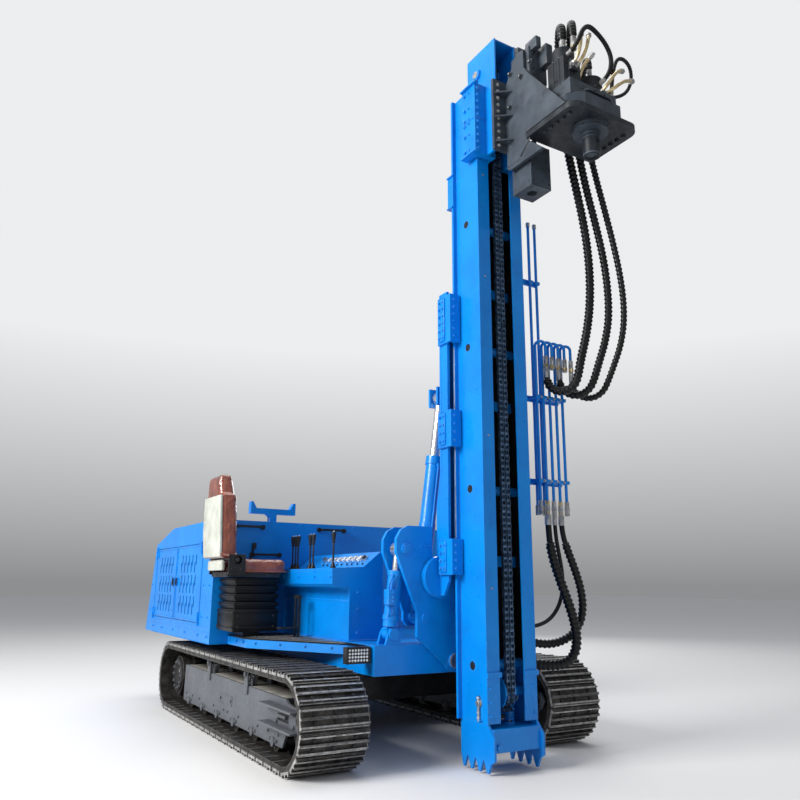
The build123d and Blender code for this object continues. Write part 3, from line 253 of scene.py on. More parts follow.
def makeFinish(name, look):
    finish = bpy.data.materials.new(name)
    finish.use_nodes = True
    nodes, links = finish.node_tree.nodes, finish.node_tree.links
    shader = nodes["Principled BSDF"]
    coords = nodes.new("ShaderNodeTexCoord").outputs["Object"]

    def noise(scale, detail, rough=0.55):
        made = nodes.new("ShaderNodeTexNoise")
        made.inputs["Scale"].default_value = scale
        made.inputs["Detail"].default_value = detail
        made.inputs["Roughness"].default_value = rough
        links.new(coords, made.inputs["Vector"])
        return made.outputs["Fac"]

    def blendTones(factor, below, above):
        mix = nodes.new("ShaderNodeMix")
        mix.data_type = "RGBA"
        links.new(factor, mix.inputs[0])
        for socket, tone in ((mix.inputs[6], below), (mix.inputs[7], above)):
            if isinstance(tone, tuple):
                socket.default_value = (*tone, 1)
            else:
                links.new(tone, socket)
        return mix.outputs[2]

    def fade(source, low, high, outLow, outHigh):
        remap = nodes.new("ShaderNodeMapRange")
        for place, value in zip((1, 2, 3, 4), (low, high, outLow, outHigh)):
            remap.inputs[place].default_value = value
        links.new(source, remap.inputs[0])
        return remap.outputs[0]

    ramp = nodes.new("ShaderNodeValToRGB")
    stops = ramp.color_ramp.elements
    stops[0].position, stops[1].position = 0.30, 0.72
    stops[0].color, stops[1].color = (*look["tones"][0], 1), (*look["tones"][2], 1)
    stops.new(0.50).color = (*look["tones"][1], 1)
    links.new(noise(look["patch"], 5), ramp.inputs[0])
    grimeTone, grimeFrom, grimeScale = look["grime"]
    dirt = fade(noise(grimeScale, 9, 0.62), grimeFrom, grimeFrom + 0.18, 0, 0.7)
    dirty = blendTones(dirt, ramp.outputs[0], grimeTone)
    # The edge tone, partly real wear and partly a painted edge highlight, shows where a rounded normal leaves
    # the flat one, which is along the edges
    wearAndHighlightTone, wearWidth, wearMost = look["wearAndHighlight"]
    rounded = nodes.new("ShaderNodeBevel")
    rounded.samples = 4
    rounded.inputs["Radius"].default_value = wearWidth
    flat = nodes.new("ShaderNodeNewGeometry")
    facing = nodes.new("ShaderNodeVectorMath")
    facing.operation = "DOT_PRODUCT"
    links.new(rounded.outputs[0], facing.inputs[0])
    links.new(flat.outputs["Normal"], facing.inputs[1])
    edges = nodes.new("ShaderNodeMath")
    edges.operation = "MULTIPLY"
    links.new(fade(facing.outputs["Value"], 0.985, 0.90, 0, wearMost), edges.inputs[0])  # cosines of the turn
    links.new(fade(noise(look["patch"] * 7, 6, 0.7), 0.40, 0.62, 0, 1), edges.inputs[1])
    wornAndLit = blendTones(edges.outputs[0], dirty, wearAndHighlightTone)
    links.new(wornAndLit, shader.inputs["Base Color"])
    links.new(fade(noise(look["grain"][0] * 0.12, 6), 0.3, 0.7, *look["rough"]), shader.inputs["Roughness"])
    shader.inputs["Metallic"].default_value = look["metal"]
    shader.inputs["Coat Weight"].default_value = look["coat"]
    shader.inputs["Coat Roughness"].default_value = 0.12
    shader.inputs["Specular IOR Level"].default_value = 0.28
    ripple = nodes.new("ShaderNodeBump")
    ripple.inputs["Strength"].default_value = look["ripple"][1] * 2.5
    ripple.inputs["Distance"].default_value = 0.01
    links.new(noise(look["ripple"][0], 3), ripple.inputs["Height"])
    grain = nodes.new("ShaderNodeBump")
    grain.inputs["Strength"].default_value = look["grain"][1] * 2
    grain.inputs["Distance"].default_value = 0.001
    links.new(noise(look["grain"][0], 4), grain.inputs["Height"])
    links.new(ripple.outputs[0], grain.inputs["Normal"])
    links.new(grain.outputs[0], shader.inputs["Normal"])
    return finish


# Finishes that share the material slot of a like one
finishes = {name: makeFinish(name + ".finish", look) for name, look in finishTable.items()}
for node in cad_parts.values():
    for place in node.material_slots:
        place.material = finishes[place.material.name.split(".")[0]]
print("finishes are on the carried-over parts:", len(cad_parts))

# Small makers shared by the pieces


def repaint(nodeName, finish):
    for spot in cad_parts[nodeName].material_slots:
        spot.material = finishes[finish]


def rod(bm, start, end, radius, sides=16, radiusEnd=None):
    start, end = Vector(start), Vector(end)
    run = end - start
    matrix = Matrix.Translation((start + end) / 2) @ run.to_track_quat("Z", "Y").to_matrix().to_4x4()
    bmesh.ops.create_cone(bm, cap_ends=True, segments=sides, radius1=radius,
                          radius2=radius if radiusEnd is None else radiusEnd, depth=run.length, matrix=matrix)


def post(bm, spot, low, high, radius, sides=16, radiusEnd=None):
    # An upright rod
    rod(bm, (*spot, low), (*spot, high), radius, sides, radiusEnd)


def sideDisc(bm, spot, out, sunk, proud, radius, sides, radiusEnd=None):
    # A disc on a side face that looks towards out, its foot sunk into the face
    x, y, z = spot
    rod(bm, (x, y - out * sunk, z), (x, y + out * proud, z), radius, sides, radiusEnd)


def bevelEdges(bm, edges, width, segments):
    bmesh.ops.bevel(bm, geom=edges, offset=width, segments=segments, affect="EDGES", profile=0.5, material=-1)


def roundEdges(bm, verts, width):
    # The edges that turn by more than 30 degrees are rounded
    edges = dict.fromkeys(edge for vert in verts for edge in vert.link_edges
                          if len(edge.link_faces) == 2 and edge.calc_face_angle(0) > radians(30))
    bmesh.ops.bevel(bm, geom=list(edges), offset=width, segments=2, affect="EDGES", profile=0.5,
                    material=-1, clamp_overlap=True)


def slab(bm, low, high, edge=0.0, turn=None):
    low, high = Vector(low), Vector(high)
    matrix = Matrix.Translation((low + high) / 2)
    if turn is not None:
        matrix = matrix @ turn
    made = bmesh.ops.create_cube(bm, size=1, matrix=matrix @ Matrix.Diagonal((*(high - low), 1)))["verts"]
    if edge:
        roundEdges(bm, made, edge)
    return made


def sidePlate(bm, xs, y, zs, out, sunk, proud, edge):
    # A plate on a side face at y that looks towards out
    low, high = sorted((y - out * sunk, y + out * proud))
    slab(bm, (xs[0], low, zs[0]), (xs[1], high, zs[1]), edge)


def onlyVerts(parts):
    return [part for part in parts if isinstance(part, bmesh.types.BMVert)]


def pull(bm, face, shift):
    # The face is drawn out into a solid
    grown = bmesh.ops.extrude_face_region(bm, geom=[face])["geom"]
    bmesh.ops.translate(bm, vec=shift, verts=onlyVerts(grown))


def ringSpots(count, radius, start=0.0):
    # Offsets to evenly spaced spots round a circle; start is a share of one gap
    angles = [2 * pi * (step + start) / count for step in range(count)]
    return [(radius * cos(angle), radius * sin(angle)) for angle in angles]


def hexBolt(bm, spot, axis, across, washer=True):
    # Washer, hexagon and a chamfered top, standing on spot along axis
    spot, axis = Vector(spot), Vector(axis).normalized()
    tall, corner, chamfer = across * 0.62, across * 0.577, across * 0.47
    if washer:
        rod(bm, spot - axis * 0.002, spot + axis * across * 0.14, across * 0.78, 12)
    rod(bm, spot, spot + axis * tall * 0.86, corner, 6)
    rod(bm, spot + axis * tall * 0.86, spot + axis * tall, corner, 6, chamfer)


def hexBolts(bm, xs, ys, zs, axis, across, washer=True):
    # A bolt at every crossing of the places; a bare number stands for a list of one
    lists = [places if isinstance(places, (tuple, list)) else (places,) for places in (xs, ys, zs)]
    for spot in product(*lists):
        hexBolt(bm, spot, axis, across, washer)


def weldBead(bm, start, end, size=0.005, pitch=0.007):
    start, end = Vector(start), Vector(end)
    run = end - start
    count = max(2, int(run.length / pitch))
    turn = run.to_track_quat("Z", "Y").to_matrix().to_4x4()
    for step in range(count + 1):
        wobble = 1 + 0.12 * sin(step * 2.3)
        spot = Matrix.Translation(start + run * step / count)
        bmesh.ops.create_icosphere(bm, subdivisions=1, radius=size,
                                   matrix=spot @ turn @ Matrix.Diagonal((wobble, wobble, 0.85, 1)))


def place(bm, name, body, finish, smooth=35, swaps=()):
    bmesh.ops.recalc_face_normals(bm, faces=bm.faces)
    mesh = bpy.data.meshes.new(name)
    bm.to_mesh(mesh)
    bm.free()
    mesh.shade_smooth()
    mesh.set_sharp_from_angle(angle=radians(smooth))
    mesh.materials.append(finishes[finish])
    piece = bpy.data.objects.new(name, mesh)
    bpy.context.scene.collection.objects.link(piece)
    if body:
        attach(piece, body)
    if swaps:
        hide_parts(*swaps)
    return piece

# Hoses: corrugated sleeves that run from the head to the pipes, and from the pipes to the carrier

sleeveSettings = {
    "pitch": 0.032, "depth": 0.19, "sides": 16,
    "plain": {"head": 0.085, "base": 0.20}, "plainWidth": 0.62, "slimBelow": 0.02,
    "headSpan": (4.60, 2.68), "baseSpan": (1.00, 1.58),  # heights between which a hose would bend with the joint
}

# name: (radius, bodies from start to end, route from the tracks' middle and the centre plane)
hoseRoutes = {
    "head_hose_inner": (0.033, ("head", "mast"), [
        (2.600, .245, 4.810), (2.600, .245, 4.952), (2.560, .278, 5.042), (2.489, .334, 5.094),
        (2.409, .399, 5.094), (2.338, .455, 5.042), (2.298, .488, 4.952), (2.296, .492, 4.820),
        (2.294, .500, 4.660), (2.286, .525, 4.460), (2.264, .585, 4.240), (2.230, .675, 4.020),
        (2.190, .770, 3.800), (2.155, .838, 3.570), (2.135, .862, 3.340), (2.127, .848, 3.120),
        (2.119, .805, 2.910), (2.108, .755, 2.740), (2.100, .720, 2.587), (2.075, .703, 2.529),
        (2.030, .672, 2.496), (1.980, .638, 2.496), (1.935, .607, 2.529), (1.910, .590, 2.587),
        (1.910, .590, 2.680),
    ]),
    "head_hose_middle": (0.030, ("head", "mast"), [
        (2.670, .280, 4.810), (2.670, .280, 4.942), (2.623, .321, 5.051), (2.542, .393, 5.113),
        (2.448, .475, 5.113), (2.367, .547, 5.051), (2.320, .588, 4.942), (2.319, .590, 4.800),
        (2.318, .594, 4.640), (2.314, .610, 4.440), (2.304, .655, 4.220), (2.283, .730, 3.990),
        (2.248, .840, 3.760), (2.218, .930, 3.530), (2.194, .982, 3.300), (2.173, .998, 3.080),
        (2.152, .967, 2.890), (2.132, .912, 2.730), (2.120, .860, 2.583), (2.092, .840, 2.520),
        (2.043, .807, 2.483), (1.987, .767, 2.483), (1.938, .734, 2.520), (1.910, .714, 2.583),
        (1.910, .714, 2.680),
    ]),
    "head_hose_outer": (0.025, ("head", "mast"), [
        (2.600, .495, 4.670), (2.600, .495, 4.785), (2.564, .521, 4.862), (2.501, .566, 4.907),
        (2.429, .619, 4.907), (2.366, .664, 4.862), (2.330, .690, 4.785), (2.331, .692, 4.660),
        (2.333, .698, 4.520), (2.337, .722, 4.320), (2.337, .775, 4.100), (2.332, .845, 3.880),
        (2.319, .925, 3.650), (2.299, 1.000, 3.430), (2.272, 1.058, 3.220), (2.240, 1.083, 3.030),
        (2.205, 1.068, 2.860), (2.168, 1.025, 2.710), (2.140, .980, 2.581), (2.109, .961, 2.514),
        (2.056, .928, 2.475), (1.994, .890, 2.475), (1.941, .857, 2.514), (1.910, .838, 2.581),
        (1.910, .838, 2.680),
    ]),
    "base_hose_inner": (0.035, ("mast", "carrier"), [
        (1.860, .596, 1.610), (1.860, .596, 1.450), (1.872, .620, 1.290), (1.890, .665, 1.140),
        (1.905, .715, 1.000), (1.911, .757, .870), (1.903, .780, .755), (1.877, .775, .655),
        (1.833, .725, .595), (1.784, .640, .583), (1.738, .540, .592), (1.692, .440, .625),
        (1.658, .350, .685), (1.648, .275, .765), (1.643, .225, .850), (1.643, .210, .935),
        (1.643, .210, 1.020),
    ]),
    "base_hose_outer": (0.030, ("mast", "carrier"), [
        (1.860, .720, 1.610), (1.860, .720, 1.500), (1.872, .755, 1.370), (1.884, .805, 1.240),
        (1.886, .852, 1.110), (1.876, .878, .985), (1.852, .873, .870), (1.816, .822, .785),
        (1.787, .745, .740), (1.762, .655, .722), (1.732, .565, .728), (1.698, .475, .755),
        (1.670, .395, .805), (1.653, .335, .870), (1.643, .295, .945), (1.643, .295, 1.020),
    ]),
    "base_hose_thin": (0.014, ("mast", "carrier"), [
        (1.860, .658, 1.610), (1.860, .658, 1.490), (1.850, .690, 1.360), (1.838, .728, 1.230),
        (1.822, .745, 1.100), (1.800, .725, .985), (1.775, .670, .900), (1.748, .595, .855),
        (1.718, .515, .840), (1.690, .445, .855), (1.665, .395, .895), (1.643, .365, .955),
        (1.643, .365, 1.020),
    ]),
}


def routeLine(name, points):
    # The route's own smooth line, read back as points
    curve = bpy.data.curves.new(name, "CURVE")
    curve.dimensions = "3D"
    spline = curve.splines.new("NURBS")
    spline.points.add(len(points) - 1)
    for knot, point in zip(spline.points, points):
        knot.co = (*point, 1)
    spline.order_u = 3
    spline.use_endpoint_u = True
    spline.resolution_u = 24
    holder = bpy.data.objects.new(name, curve)
    bpy.context.scene.collection.objects.link(holder)
    bpy.context.view_layer.update()
    line = bpy.data.meshes.new_from_object(holder.evaluated_get(bpy.context.evaluated_depsgraph_get()))
    found = [vert.co.copy() for vert in line.vertices]
    bpy.data.meshes.remove(line)
    bpy.data.objects.remove(holder)
    return found


def spaced(line, gap):
    # Points at an even distance along a line
    run = [0.0]
    for before, here in zip(line, line[1:]):
        run.append(run[-1] + (here - before).length)
    count = max(2, round(run[-1] / gap))
    points, at = [], 0
    for step in range(count + 1):
        goal = run[-1] * step / count
        while at < len(run) - 2 and run[at + 1] < goal:
            at += 1
        share = (goal - run[at]) / (run[at + 1] - run[at])
        points.append(line[at].lerp(line[at + 1], share))
    return points, run[-1]


def tubeAlong(bm, line, radii, sides):
    # A ring is drawn at the start and pulled along the line, turning as little as it can
    aim = (line[1] - line[0]).normalized()
    turn = aim.to_track_quat("Z", "Y")
    spot, wide = line[0], radii[0]
    ring = bmesh.ops.create_circle(bm, cap_ends=False, segments=sides, radius=wide,
                                   matrix=Matrix.Translation(spot) @ turn.to_matrix().to_4x4())["verts"]
    edges = first = list(dict.fromkeys(edge for vert in ring for edge in vert.link_edges))
    for at in range(1, len(line)):
        ahead = line[min(at + 1, len(line) - 1)] - line[at - 1]
        newAim = ahead.normalized()
        swing = aim.rotation_difference(newAim).to_matrix().to_4x4()
        grown = bmesh.ops.extrude_edge_only(bm, edges=edges)["geom"]
        verts = onlyVerts(grown)
        edges = [part for part in grown if isinstance(part, bmesh.types.BMEdge)
                 and all(vert in verts for vert in part.verts)]
        scale = Matrix.Scale(radii[at] / wide, 4)
        bmesh.ops.transform(bm, verts=verts, matrix=Matrix.Translation(line[at]) @ swing @ scale
                            @ Matrix.Translation(-spot))
        spot, wide, aim = line[at], radii[at], newAim
    for rim in (first, edges):
        bmesh.ops.edgeloop_fill(bm, edges=rim)


def makeHose(name, settings):
    radius, bodies, route = hoseRoutes[name]
    route = [(tracksX + x, planeY + y, z) for x, y, z in route]
    line, length = spaced(routeLine(name + ".line", route), settings["pitch"] / 4)
    gap = length / (len(line) - 1)
    slim = radius < settings["slimBelow"]  # a slim hose has no ribs and fills its ends
    plain = radius if slim else radius * settings["plainWidth"]
    radii = []
    for at in range(len(line)):
        toEnd = min(at, len(line) - 1 - at) * gap
        ribbed = radius * (1 if at % 4 < 2 else 1 - settings["depth"])
        radii.append(plain if slim or toEnd < settings["plain"][name[:4]] else ribbed)
    bm = bmesh.new()
    tubeAlong(bm, line, radii, settings["sides"])
    hose = place(bm, name + ".sleeve", None, "rubber", 50, (name,))
    if bodies == ("head", "mast"):
        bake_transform(hose)
    else:
        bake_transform(hose)


for hoseName in hoseRoutes:
    makeHose(hoseName, sleeveSettings)
print("hoses are in place:", len(hoseRoutes))

# Track shoes: flat plates with three ridges, bolt heads, and black slabs in the gaps between the links as
# painted shade

shoeSettings = {
    "count": 52, "halfRun": 1.4, "radius": 0.275, "axleHeight": 0.295, "width": 0.45, "rows": (-0.89, 1.01),
    "plate": (0.066, 0.004), "ridge": (0.0065, 0.016),  # half width and height
    "ridges": (-0.047, 0.047), "bolts": (-0.135, 0.0, 0.135),
}


def shoeMatrix(settings, step, row):
    # Where a shoe sits on the loop: on a straight run or round one of the wheels
    half, radius = settings["halfRun"], settings["radius"]
    pitch = (4 * half + 2 * pi * radius) / settings["count"]
    along = (step + 0.5) * pitch
    if along < 2 * half:
        spot, turn = (-half + along, radius), 0.0
    elif along < 2 * half + pi * radius:
        turn = (along - 2 * half) / radius
        spot, turn = (half + radius * sin(turn), radius * cos(turn)), -turn
    elif along < 4 * half + pi * radius:
        spot, turn = (half - (along - 2 * half - pi * radius), -radius), pi
    else:
        turn = (along - 4 * half - pi * radius) / radius
        spot, turn = (-half - radius * sin(turn), -radius * cos(turn)), pi - turn
    return (Matrix.Translation((tracksX + spot[0], row, settings["axleHeight"] + spot[1]))
            @ Matrix.Rotation(-turn, 4, "Y"))


def stampCopies(bm, matrices):
    # The shape in bm is copied to each place, and the first one goes
    pattern = list(bm.verts) + list(bm.edges) + list(bm.faces)
    first = list(bm.verts)
    for matrix in matrices:
        copied = bmesh.ops.duplicate(bm, geom=pattern)["geom"]
        bmesh.ops.transform(bm, matrix=matrix, verts=onlyVerts(copied))
    bmesh.ops.delete(bm, geom=first, context="VERTS")


def makeShoes(side, row, settings):
    plates, gapShadeAndPins, bolts, wornAndLit = (bmesh.new() for _ in range(4))
    halfPlate, proud = settings["plate"]
    halfRidge, tall = settings["ridge"]
    first, last = settings["ridges"]
    edge = settings["width"] / 2

    def bar(bm, low, high, bottom, top, inset, rounding=0.0):
        # A bar across the whole shoe, less the inset at both ends
        slab(bm, (low, inset - edge, bottom), (high, edge - inset, top), rounding)

    bar(plates, -halfPlate, halfPlate, -0.004, proud, 0, 0.0015)
    for at in (first, last):
        bar(plates, at - halfRidge, at + halfRidge, 0, tall, 0.002, 0.003)
        bar(wornAndLit, at - 0.0042, at + 0.0042, 0.015, 0.0165, 0.006)
    bar(wornAndLit, -0.0070, 0.0070, 0.019, 0.0200, 0.004)
    bar(wornAndLit, halfPlate - 0.006, halfPlate - 0.001, 0.003, 0.0046, 0.004)
    for x, y in product((-0.026, 0.026), settings["bolts"]):
        post(bolts, (x, y), 0.002, 0.014, 0.0130, 6, 0.0110)
    for y in (-edge - 0.0012, edge - 0.0012):  # ends of the plate and its ridges in bright steel, partly real wear and partly painted light on end faces that lie in shade
        slab(wornAndLit, (-halfPlate + 0.008, y, -0.012), (halfPlate - 0.008, y + 0.0024, 0.0038))
        for at in (first, 0, last):
            slab(wornAndLit, (at - 0.005, y, 0.004), (at + 0.005, y + 0.0024, 0.0155))
    # black slabs in the gaps between the shoes, painted shade
    for y in (-edge - 0.001, edge - 0.001):
        slab(gapShadeAndPins, (-0.0035, y, -0.039), (0.0035, y + 0.002, -0.002))
    for low, high in ((-edge + 0.004, -0.125), (0.125, edge - 0.004)):
        slab(wornAndLit, (halfPlate - 0.007, low, -0.0415), (halfPlate + 0.001, high, -0.036))
    for y in (-0.045, 0.045):  # link pins
        rod(gapShadeAndPins, (0, y - 0.012, -0.050), (0, y + 0.012, -0.050), 0.017, 10)
    onShoes = [shoeMatrix(settings, step, row) for step in range(settings["count"])]
    between = [shoeMatrix(settings, step + 0.5, row) for step in range(settings["count"])]
    stampCopies(plates, onShoes)
    stampCopies(bolts, onShoes)
    stampCopies(gapShadeAndPins, between)
    stampCopies(wornAndLit, onShoes)
    place(wornAndLit, "track_worn_and_lit_edges_" + side, "machine", "worn_steel")
    place(plates, "track_shoes_" + side, "machine", "track_steel")
    place(gapShadeAndPins, "track_gap_shade_and_pins_" + side, "machine", "black_paint")
    place(bolts, "track_bolts_" + side, "machine", "black_paint")


for side, row in zip(("right", "left"), shoeSettings["rows"]):
    makeShoes(side, row, shoeSettings)
print("track shoes are on")

# Track frames: cap plates, roller bolts, idler forks and the sprocket cover

frameSettings = {
    "cheek": 0.116, "rollers": (-1.0, -0.6, -0.2, 0.2, 0.6, 1.0), "brackets": (-0.45, 0.45),
    "seamBolts": (-1.1, -0.9, -0.7, -0.3, -0.05, 0.05, 0.3, 0.7, 0.9, 1.08), "fork": (0.88, 1.43),
    "coverBolts": 12, "coverBoltRing": 0.118,
}


def fromTracks(*places):
    return [tracksX + x for x in places]


def makeFrameParts(side, row, settings):
    paint, metal, dark, pale = (bmesh.new() for _ in range(4))
    # a pale strip on the frame's top, painted light on the top face
    slab(pale, (tracksX - 1.14, row - 0.099, 0.399), (tracksX + 1.14, row + 0.099, 0.4015), 0.0008)
    for out in (-1, 1):
        y, aside = row + out * settings["cheek"], (0, out, 0)
        for x in fromTracks(*settings["rollers"]):
            hexBolts(metal, (x - 0.055, x + 0.055), y, 0.133, aside, 0.018)
            sideDisc(paint, (x, y, 0.1203), out, 0.004, 0.012, 0.032, 20, 0.029)
        hexBolts(metal, fromTracks(*settings["seamBolts"]), y, 0.172, aside, 0.015)
        forkLow, forkHigh = fromTracks(*settings["fork"])
        for z in (0.226, 0.344):  # flanges of the idler fork
            sidePlate(paint, (forkLow, forkHigh), y, (z, z + 0.014), out, 0.004, 0.074, 0.003)
            seam, under = y + out * 0.003, z - 0.002
            weldBead(paint, (forkLow + 0.01, seam, under), (forkHigh - 0.01, seam, under), 0.004)
        # a dark plate between the fork's flanges, painted shade in the slot
        sidePlate(dark, fromTracks(1.06, 1.24), y, (0.262, 0.326), out, 0.002, 0.0016, 0.012)
        screw = y + out * 0.006
        rod(metal, (tracksX + 1.08, screw, 0.294), (tracksX + 1.22, screw, 0.294), 0.013, 16)
        hexBolts(metal, fromTracks(1.05, 1.33), y, (0.258, 0.328), aside, 0.022)
        sidePlate(paint, fromTracks(-0.14, 0.14), y, (0.215, 0.290), out, 0.003, 0.004, 0.003)
        hexBolts(metal, fromTracks(-0.12, 0.12), y + out * 0.004, 0.252, aside, 0.016)
        seam = y - out * 0.010
        weldBead(paint, (tracksX - 1.15, seam, 0.401), (tracksX + 1.13, seam, 0.401), 0.0045, 0.009)
    outward = -1 if side == "right" else 1
    inner = row - outward * 0.086
    # a black sheet along the inner side, painted shade between the frame top and the upper run of the track
    slab(dark, (tracksX - 1.20, inner - 0.003, 0.396), (tracksX + 1.22, inner + 0.003, 0.526), 0.001)
    for x, out in product(fromTracks(*settings["brackets"]), (-1, 1)):  # top roller brackets
        y, arm = row + out * 0.092, row + out * 0.12236
        sidePlate(paint, (x - 0.048, x + 0.048), y, (0.399, 0.455), out, 0.007, 0.007, 0.004)
        sidePlate(paint, (x - 0.030, x + 0.030), y, (0.450, 0.518), out, 0.007, 0.007, 0.008)
        hexBolts(metal, (x - 0.028, x + 0.028), y + out * 0.007, 0.425, (0, out, 0), 0.015)
        sidePlate(paint, (x - 0.034, x + 0.034), arm, (0.345, 0.505), out, 0.008, 0.008, 0.012)
        sideDisc(metal, (x, arm, 0.482), out, 0, 0.018, 0.020, 16)
        rod(dark, (x, row + out * 0.0552, 0.482), (x, arm, 0.482), 0.014, 16)
    axle, height = tracksX - shoeSettings["halfRun"], shoeSettings["axleHeight"]
    cover, hub = (axle, row + outward * 0.112, height), (axle, row + outward * 0.126, height)
    sideDisc(dark, cover, outward, 0, 0.016, 0.150, 40, 0.144)
    sideDisc(dark, hub, outward, 0, 0.008, 0.085, 32, 0.078)
    for x, z in ringSpots(settings["coverBolts"], settings["coverBoltRing"]):
        hexBolt(metal, (axle + x, row + outward * 0.128, height + z), (0, outward, 0), 0.018)
    place(paint, "track_frame_details_" + side, "machine", "frame_paint")
    place(metal, "track_frame_bolts_" + side, "machine", "frame_paint")
    place(dark, "track_frame_shade_and_dark_parts_" + side, "machine", "black_paint")
    place(pale, "track_frame_lit_top_" + side, "machine", "dusty_top")


for side, row in zip(("right", "left"), shoeSettings["rows"]):
    makeFrameParts(side, row, frameSettings)
print("track frames are detailed")

# Mast: double chain, black sheets inside the channel as painted shade, holes, welds, tension slot and flange
# bolts

chainSettings = {
    "x": 1.600, "low": 0.455, "high": 4.985, "radius": 0.088, "links": 252, "strands": (-0.020, 0.020),
    # radius, length and, for a plate, how far it is stretched
    "roller": (0.0115, 0.018), "plate": (0.0155, 0.003, 2.05), "pin": (0.0055, 0.070),
}


def chainMatrix(settings, along):
    span, radius = settings["high"] - settings["low"], settings["radius"]
    lap = 2 * span + 2 * pi * radius
    along %= lap
    if along < span:
        spot, turn = (radius, settings["low"] + along), 0.0
    elif along < span + pi * radius:
        turn = (along - span) / radius
        spot = (radius * cos(turn), settings["high"] + radius * sin(turn))
    elif along < 2 * span + pi * radius:
        turn = pi
        spot = (-radius, settings["high"] - (along - span - pi * radius))
    else:
        turn = pi + (along - 2 * span - pi * radius) / radius
        spot = (radius * cos(turn), settings["low"] + radius * sin(turn))
    return Matrix.Translation((settings["x"] + spot[0], mastY, spot[1])) @ Matrix.Rotation(-turn, 4, "Y")


def makeChain(settings):
    lap = 2 * (settings["high"] - settings["low"]) + 2 * pi * settings["radius"]
    pitch = lap / settings["links"]
    lay = Matrix.Rotation(pi / 2, 4, "X")
    bm = bmesh.new()

    def disc(spot, sides, radius, depth, stretch=1):
        bmesh.ops.create_cone(bm, cap_ends=True, segments=sides, radius1=radius, radius2=radius, depth=depth,
                              matrix=Matrix.Translation(spot) @ Matrix.Diagonal((1, 1, stretch, 1)) @ lay)

    for wide, at in ((0.0095, 0.0), (0.0135, pitch)):  # an inner link, then an outer one
        for strand in settings["strands"]:
            disc((0, strand, at), 8, *settings["roller"])
            for off in (-wide, wide):
                disc((0, strand + off, at + pitch / 2), 10, *settings["plate"])
        disc((0, 0, at), 6, *settings["pin"])
    stampCopies(bm, [chainMatrix(settings, 2 * step * pitch) for step in range(settings["links"] // 2)])
    place(bm, "roller_chain", "mast", "chain_steel", 30, ("lift_chain",))


makeChain(chainSettings)
repaint("chain_wheels", "blue_paint")
print("chain is on")

mastSettings = {
    "side": -0.01, "far": 0.39, "rear": 1.425, "front": 1.715, "lining": (0.60, 4.77),
    "holes": (0.62, 1.75, 2.75, 3.70), "slotX": 1.634, "spring": (1.60, mastY + 0.06), "coil": (0.027, 0.005),
}


def makeMastParts(settings):
    paint, dark, metal, bare = (bmesh.new() for _ in range(4))
    near, far, rear, front = settings["side"], settings["far"], settings["rear"], settings["front"]
    foot, head = settings["lining"]
    # black sheets on the rear wall and both sides inside the channel, painted shade for its dark inside
    slab(dark, (rear + 0.021, near + 0.014, foot), (rear + 0.024, far - 0.014, head), 0.0006)
    for y in (near + 0.013, far - 0.015):
        slab(dark, (rear + 0.024, y, foot), (front - 0.014, y + 0.002, head), 0.0005)
    for y, out in ((near, -1), (far, 1)):
        for z in settings["holes"]:
            # a black disc in each hole, painted shade, set in a blue ring
            sideDisc(dark, (rear + 0.142, y, z), out, 0.003, 0.0016, 0.027, 28)
            sideDisc(paint, (rear + 0.142, y, z), out, 0.002, 0.0012, 0.036, 28, 0.034)
        seam = (rear + 0.0225, y + out * 0.001)  # long corner welds at the rear wall
        weldBead(paint, (*seam, foot), (*seam, 4.15), 0.0045, 0.011)
        rail = y + out * 0.030  # scraped slide rails
        sidePlate(bare, (rear + 0.003, rear + 0.017), rail, (1.30, 2.78), out, 0.0035, 0.0005, 0.0004)
    # Tension slot with its long screw and nuts; the slot is a dark slab, painted shade
    x = settings["slotX"]
    slab(dark, (x - 0.007, near - 0.0012, 0.355), (x + 0.007, near + 0.003, 0.450), 0.005)
    post(metal, (x, near - 0.010), 0.30, 0.43, 0.008, 14)
    hexBolts(metal, x, near - 0.010, (0.315, 0.345, 0.43), upward, 0.022, washer=False)
    hexBolt(metal, (x, near, 0.405), rightward, 0.034)
    slab(paint, (x - 0.022, near - 0.014, 0.300), (x + 0.022, near, 0.312), 0.002)
    hexBolts(paint, front, (near + 0.024, far - 0.024), (0.335, 0.415, 0.495), forward, 0.016)
    hexBolts(bare, front, near + 0.05, (1.10, 2.10, 3.25, 4.05), forward, 0.012, washer=False)
    for y in (near + 0.100, far - 0.100):
        weldBead(paint, (front - 0.006, y, 0.30), (front - 0.006, y, 0.56), 0.004, 0.010)
    # Spring seat and coil over the foot
    springX, springY = spring = settings["spring"]
    post(metal, spring, 0.262, 0.375, 0.010, 14)
    post(paint, spring, 0.262, 0.275, 0.036, 24)
    post(paint, spring, 0.345, 0.356, 0.036, 24)
    hexBolt(metal, (*spring, 0.356), upward, 0.030)
    radius, wire = settings["coil"]
    turns = [(step * pi / 6, 0.279 + step * 0.00105) for step in range(61)]
    coil = [Vector((springX + radius * cos(turn), springY + radius * sin(turn), z)) for turn, z in turns]
    tubeAlong(paint, coil, [wire] * len(coil), 8)
    place(paint, "mast_welds", "mast", "blue_paint")
    place(dark, "mast_painted_shade", "mast", "black_paint")
    place(metal, "mast_bolts", "mast", "steel")
    place(bare, "mast_slide_rails", "mast", "steel")


makeMastParts(mastSettings)

topBoxSettings = {"x": (1.479, 1.825), "y": (0.09, 0.29), "z": (4.80, 5.175)}


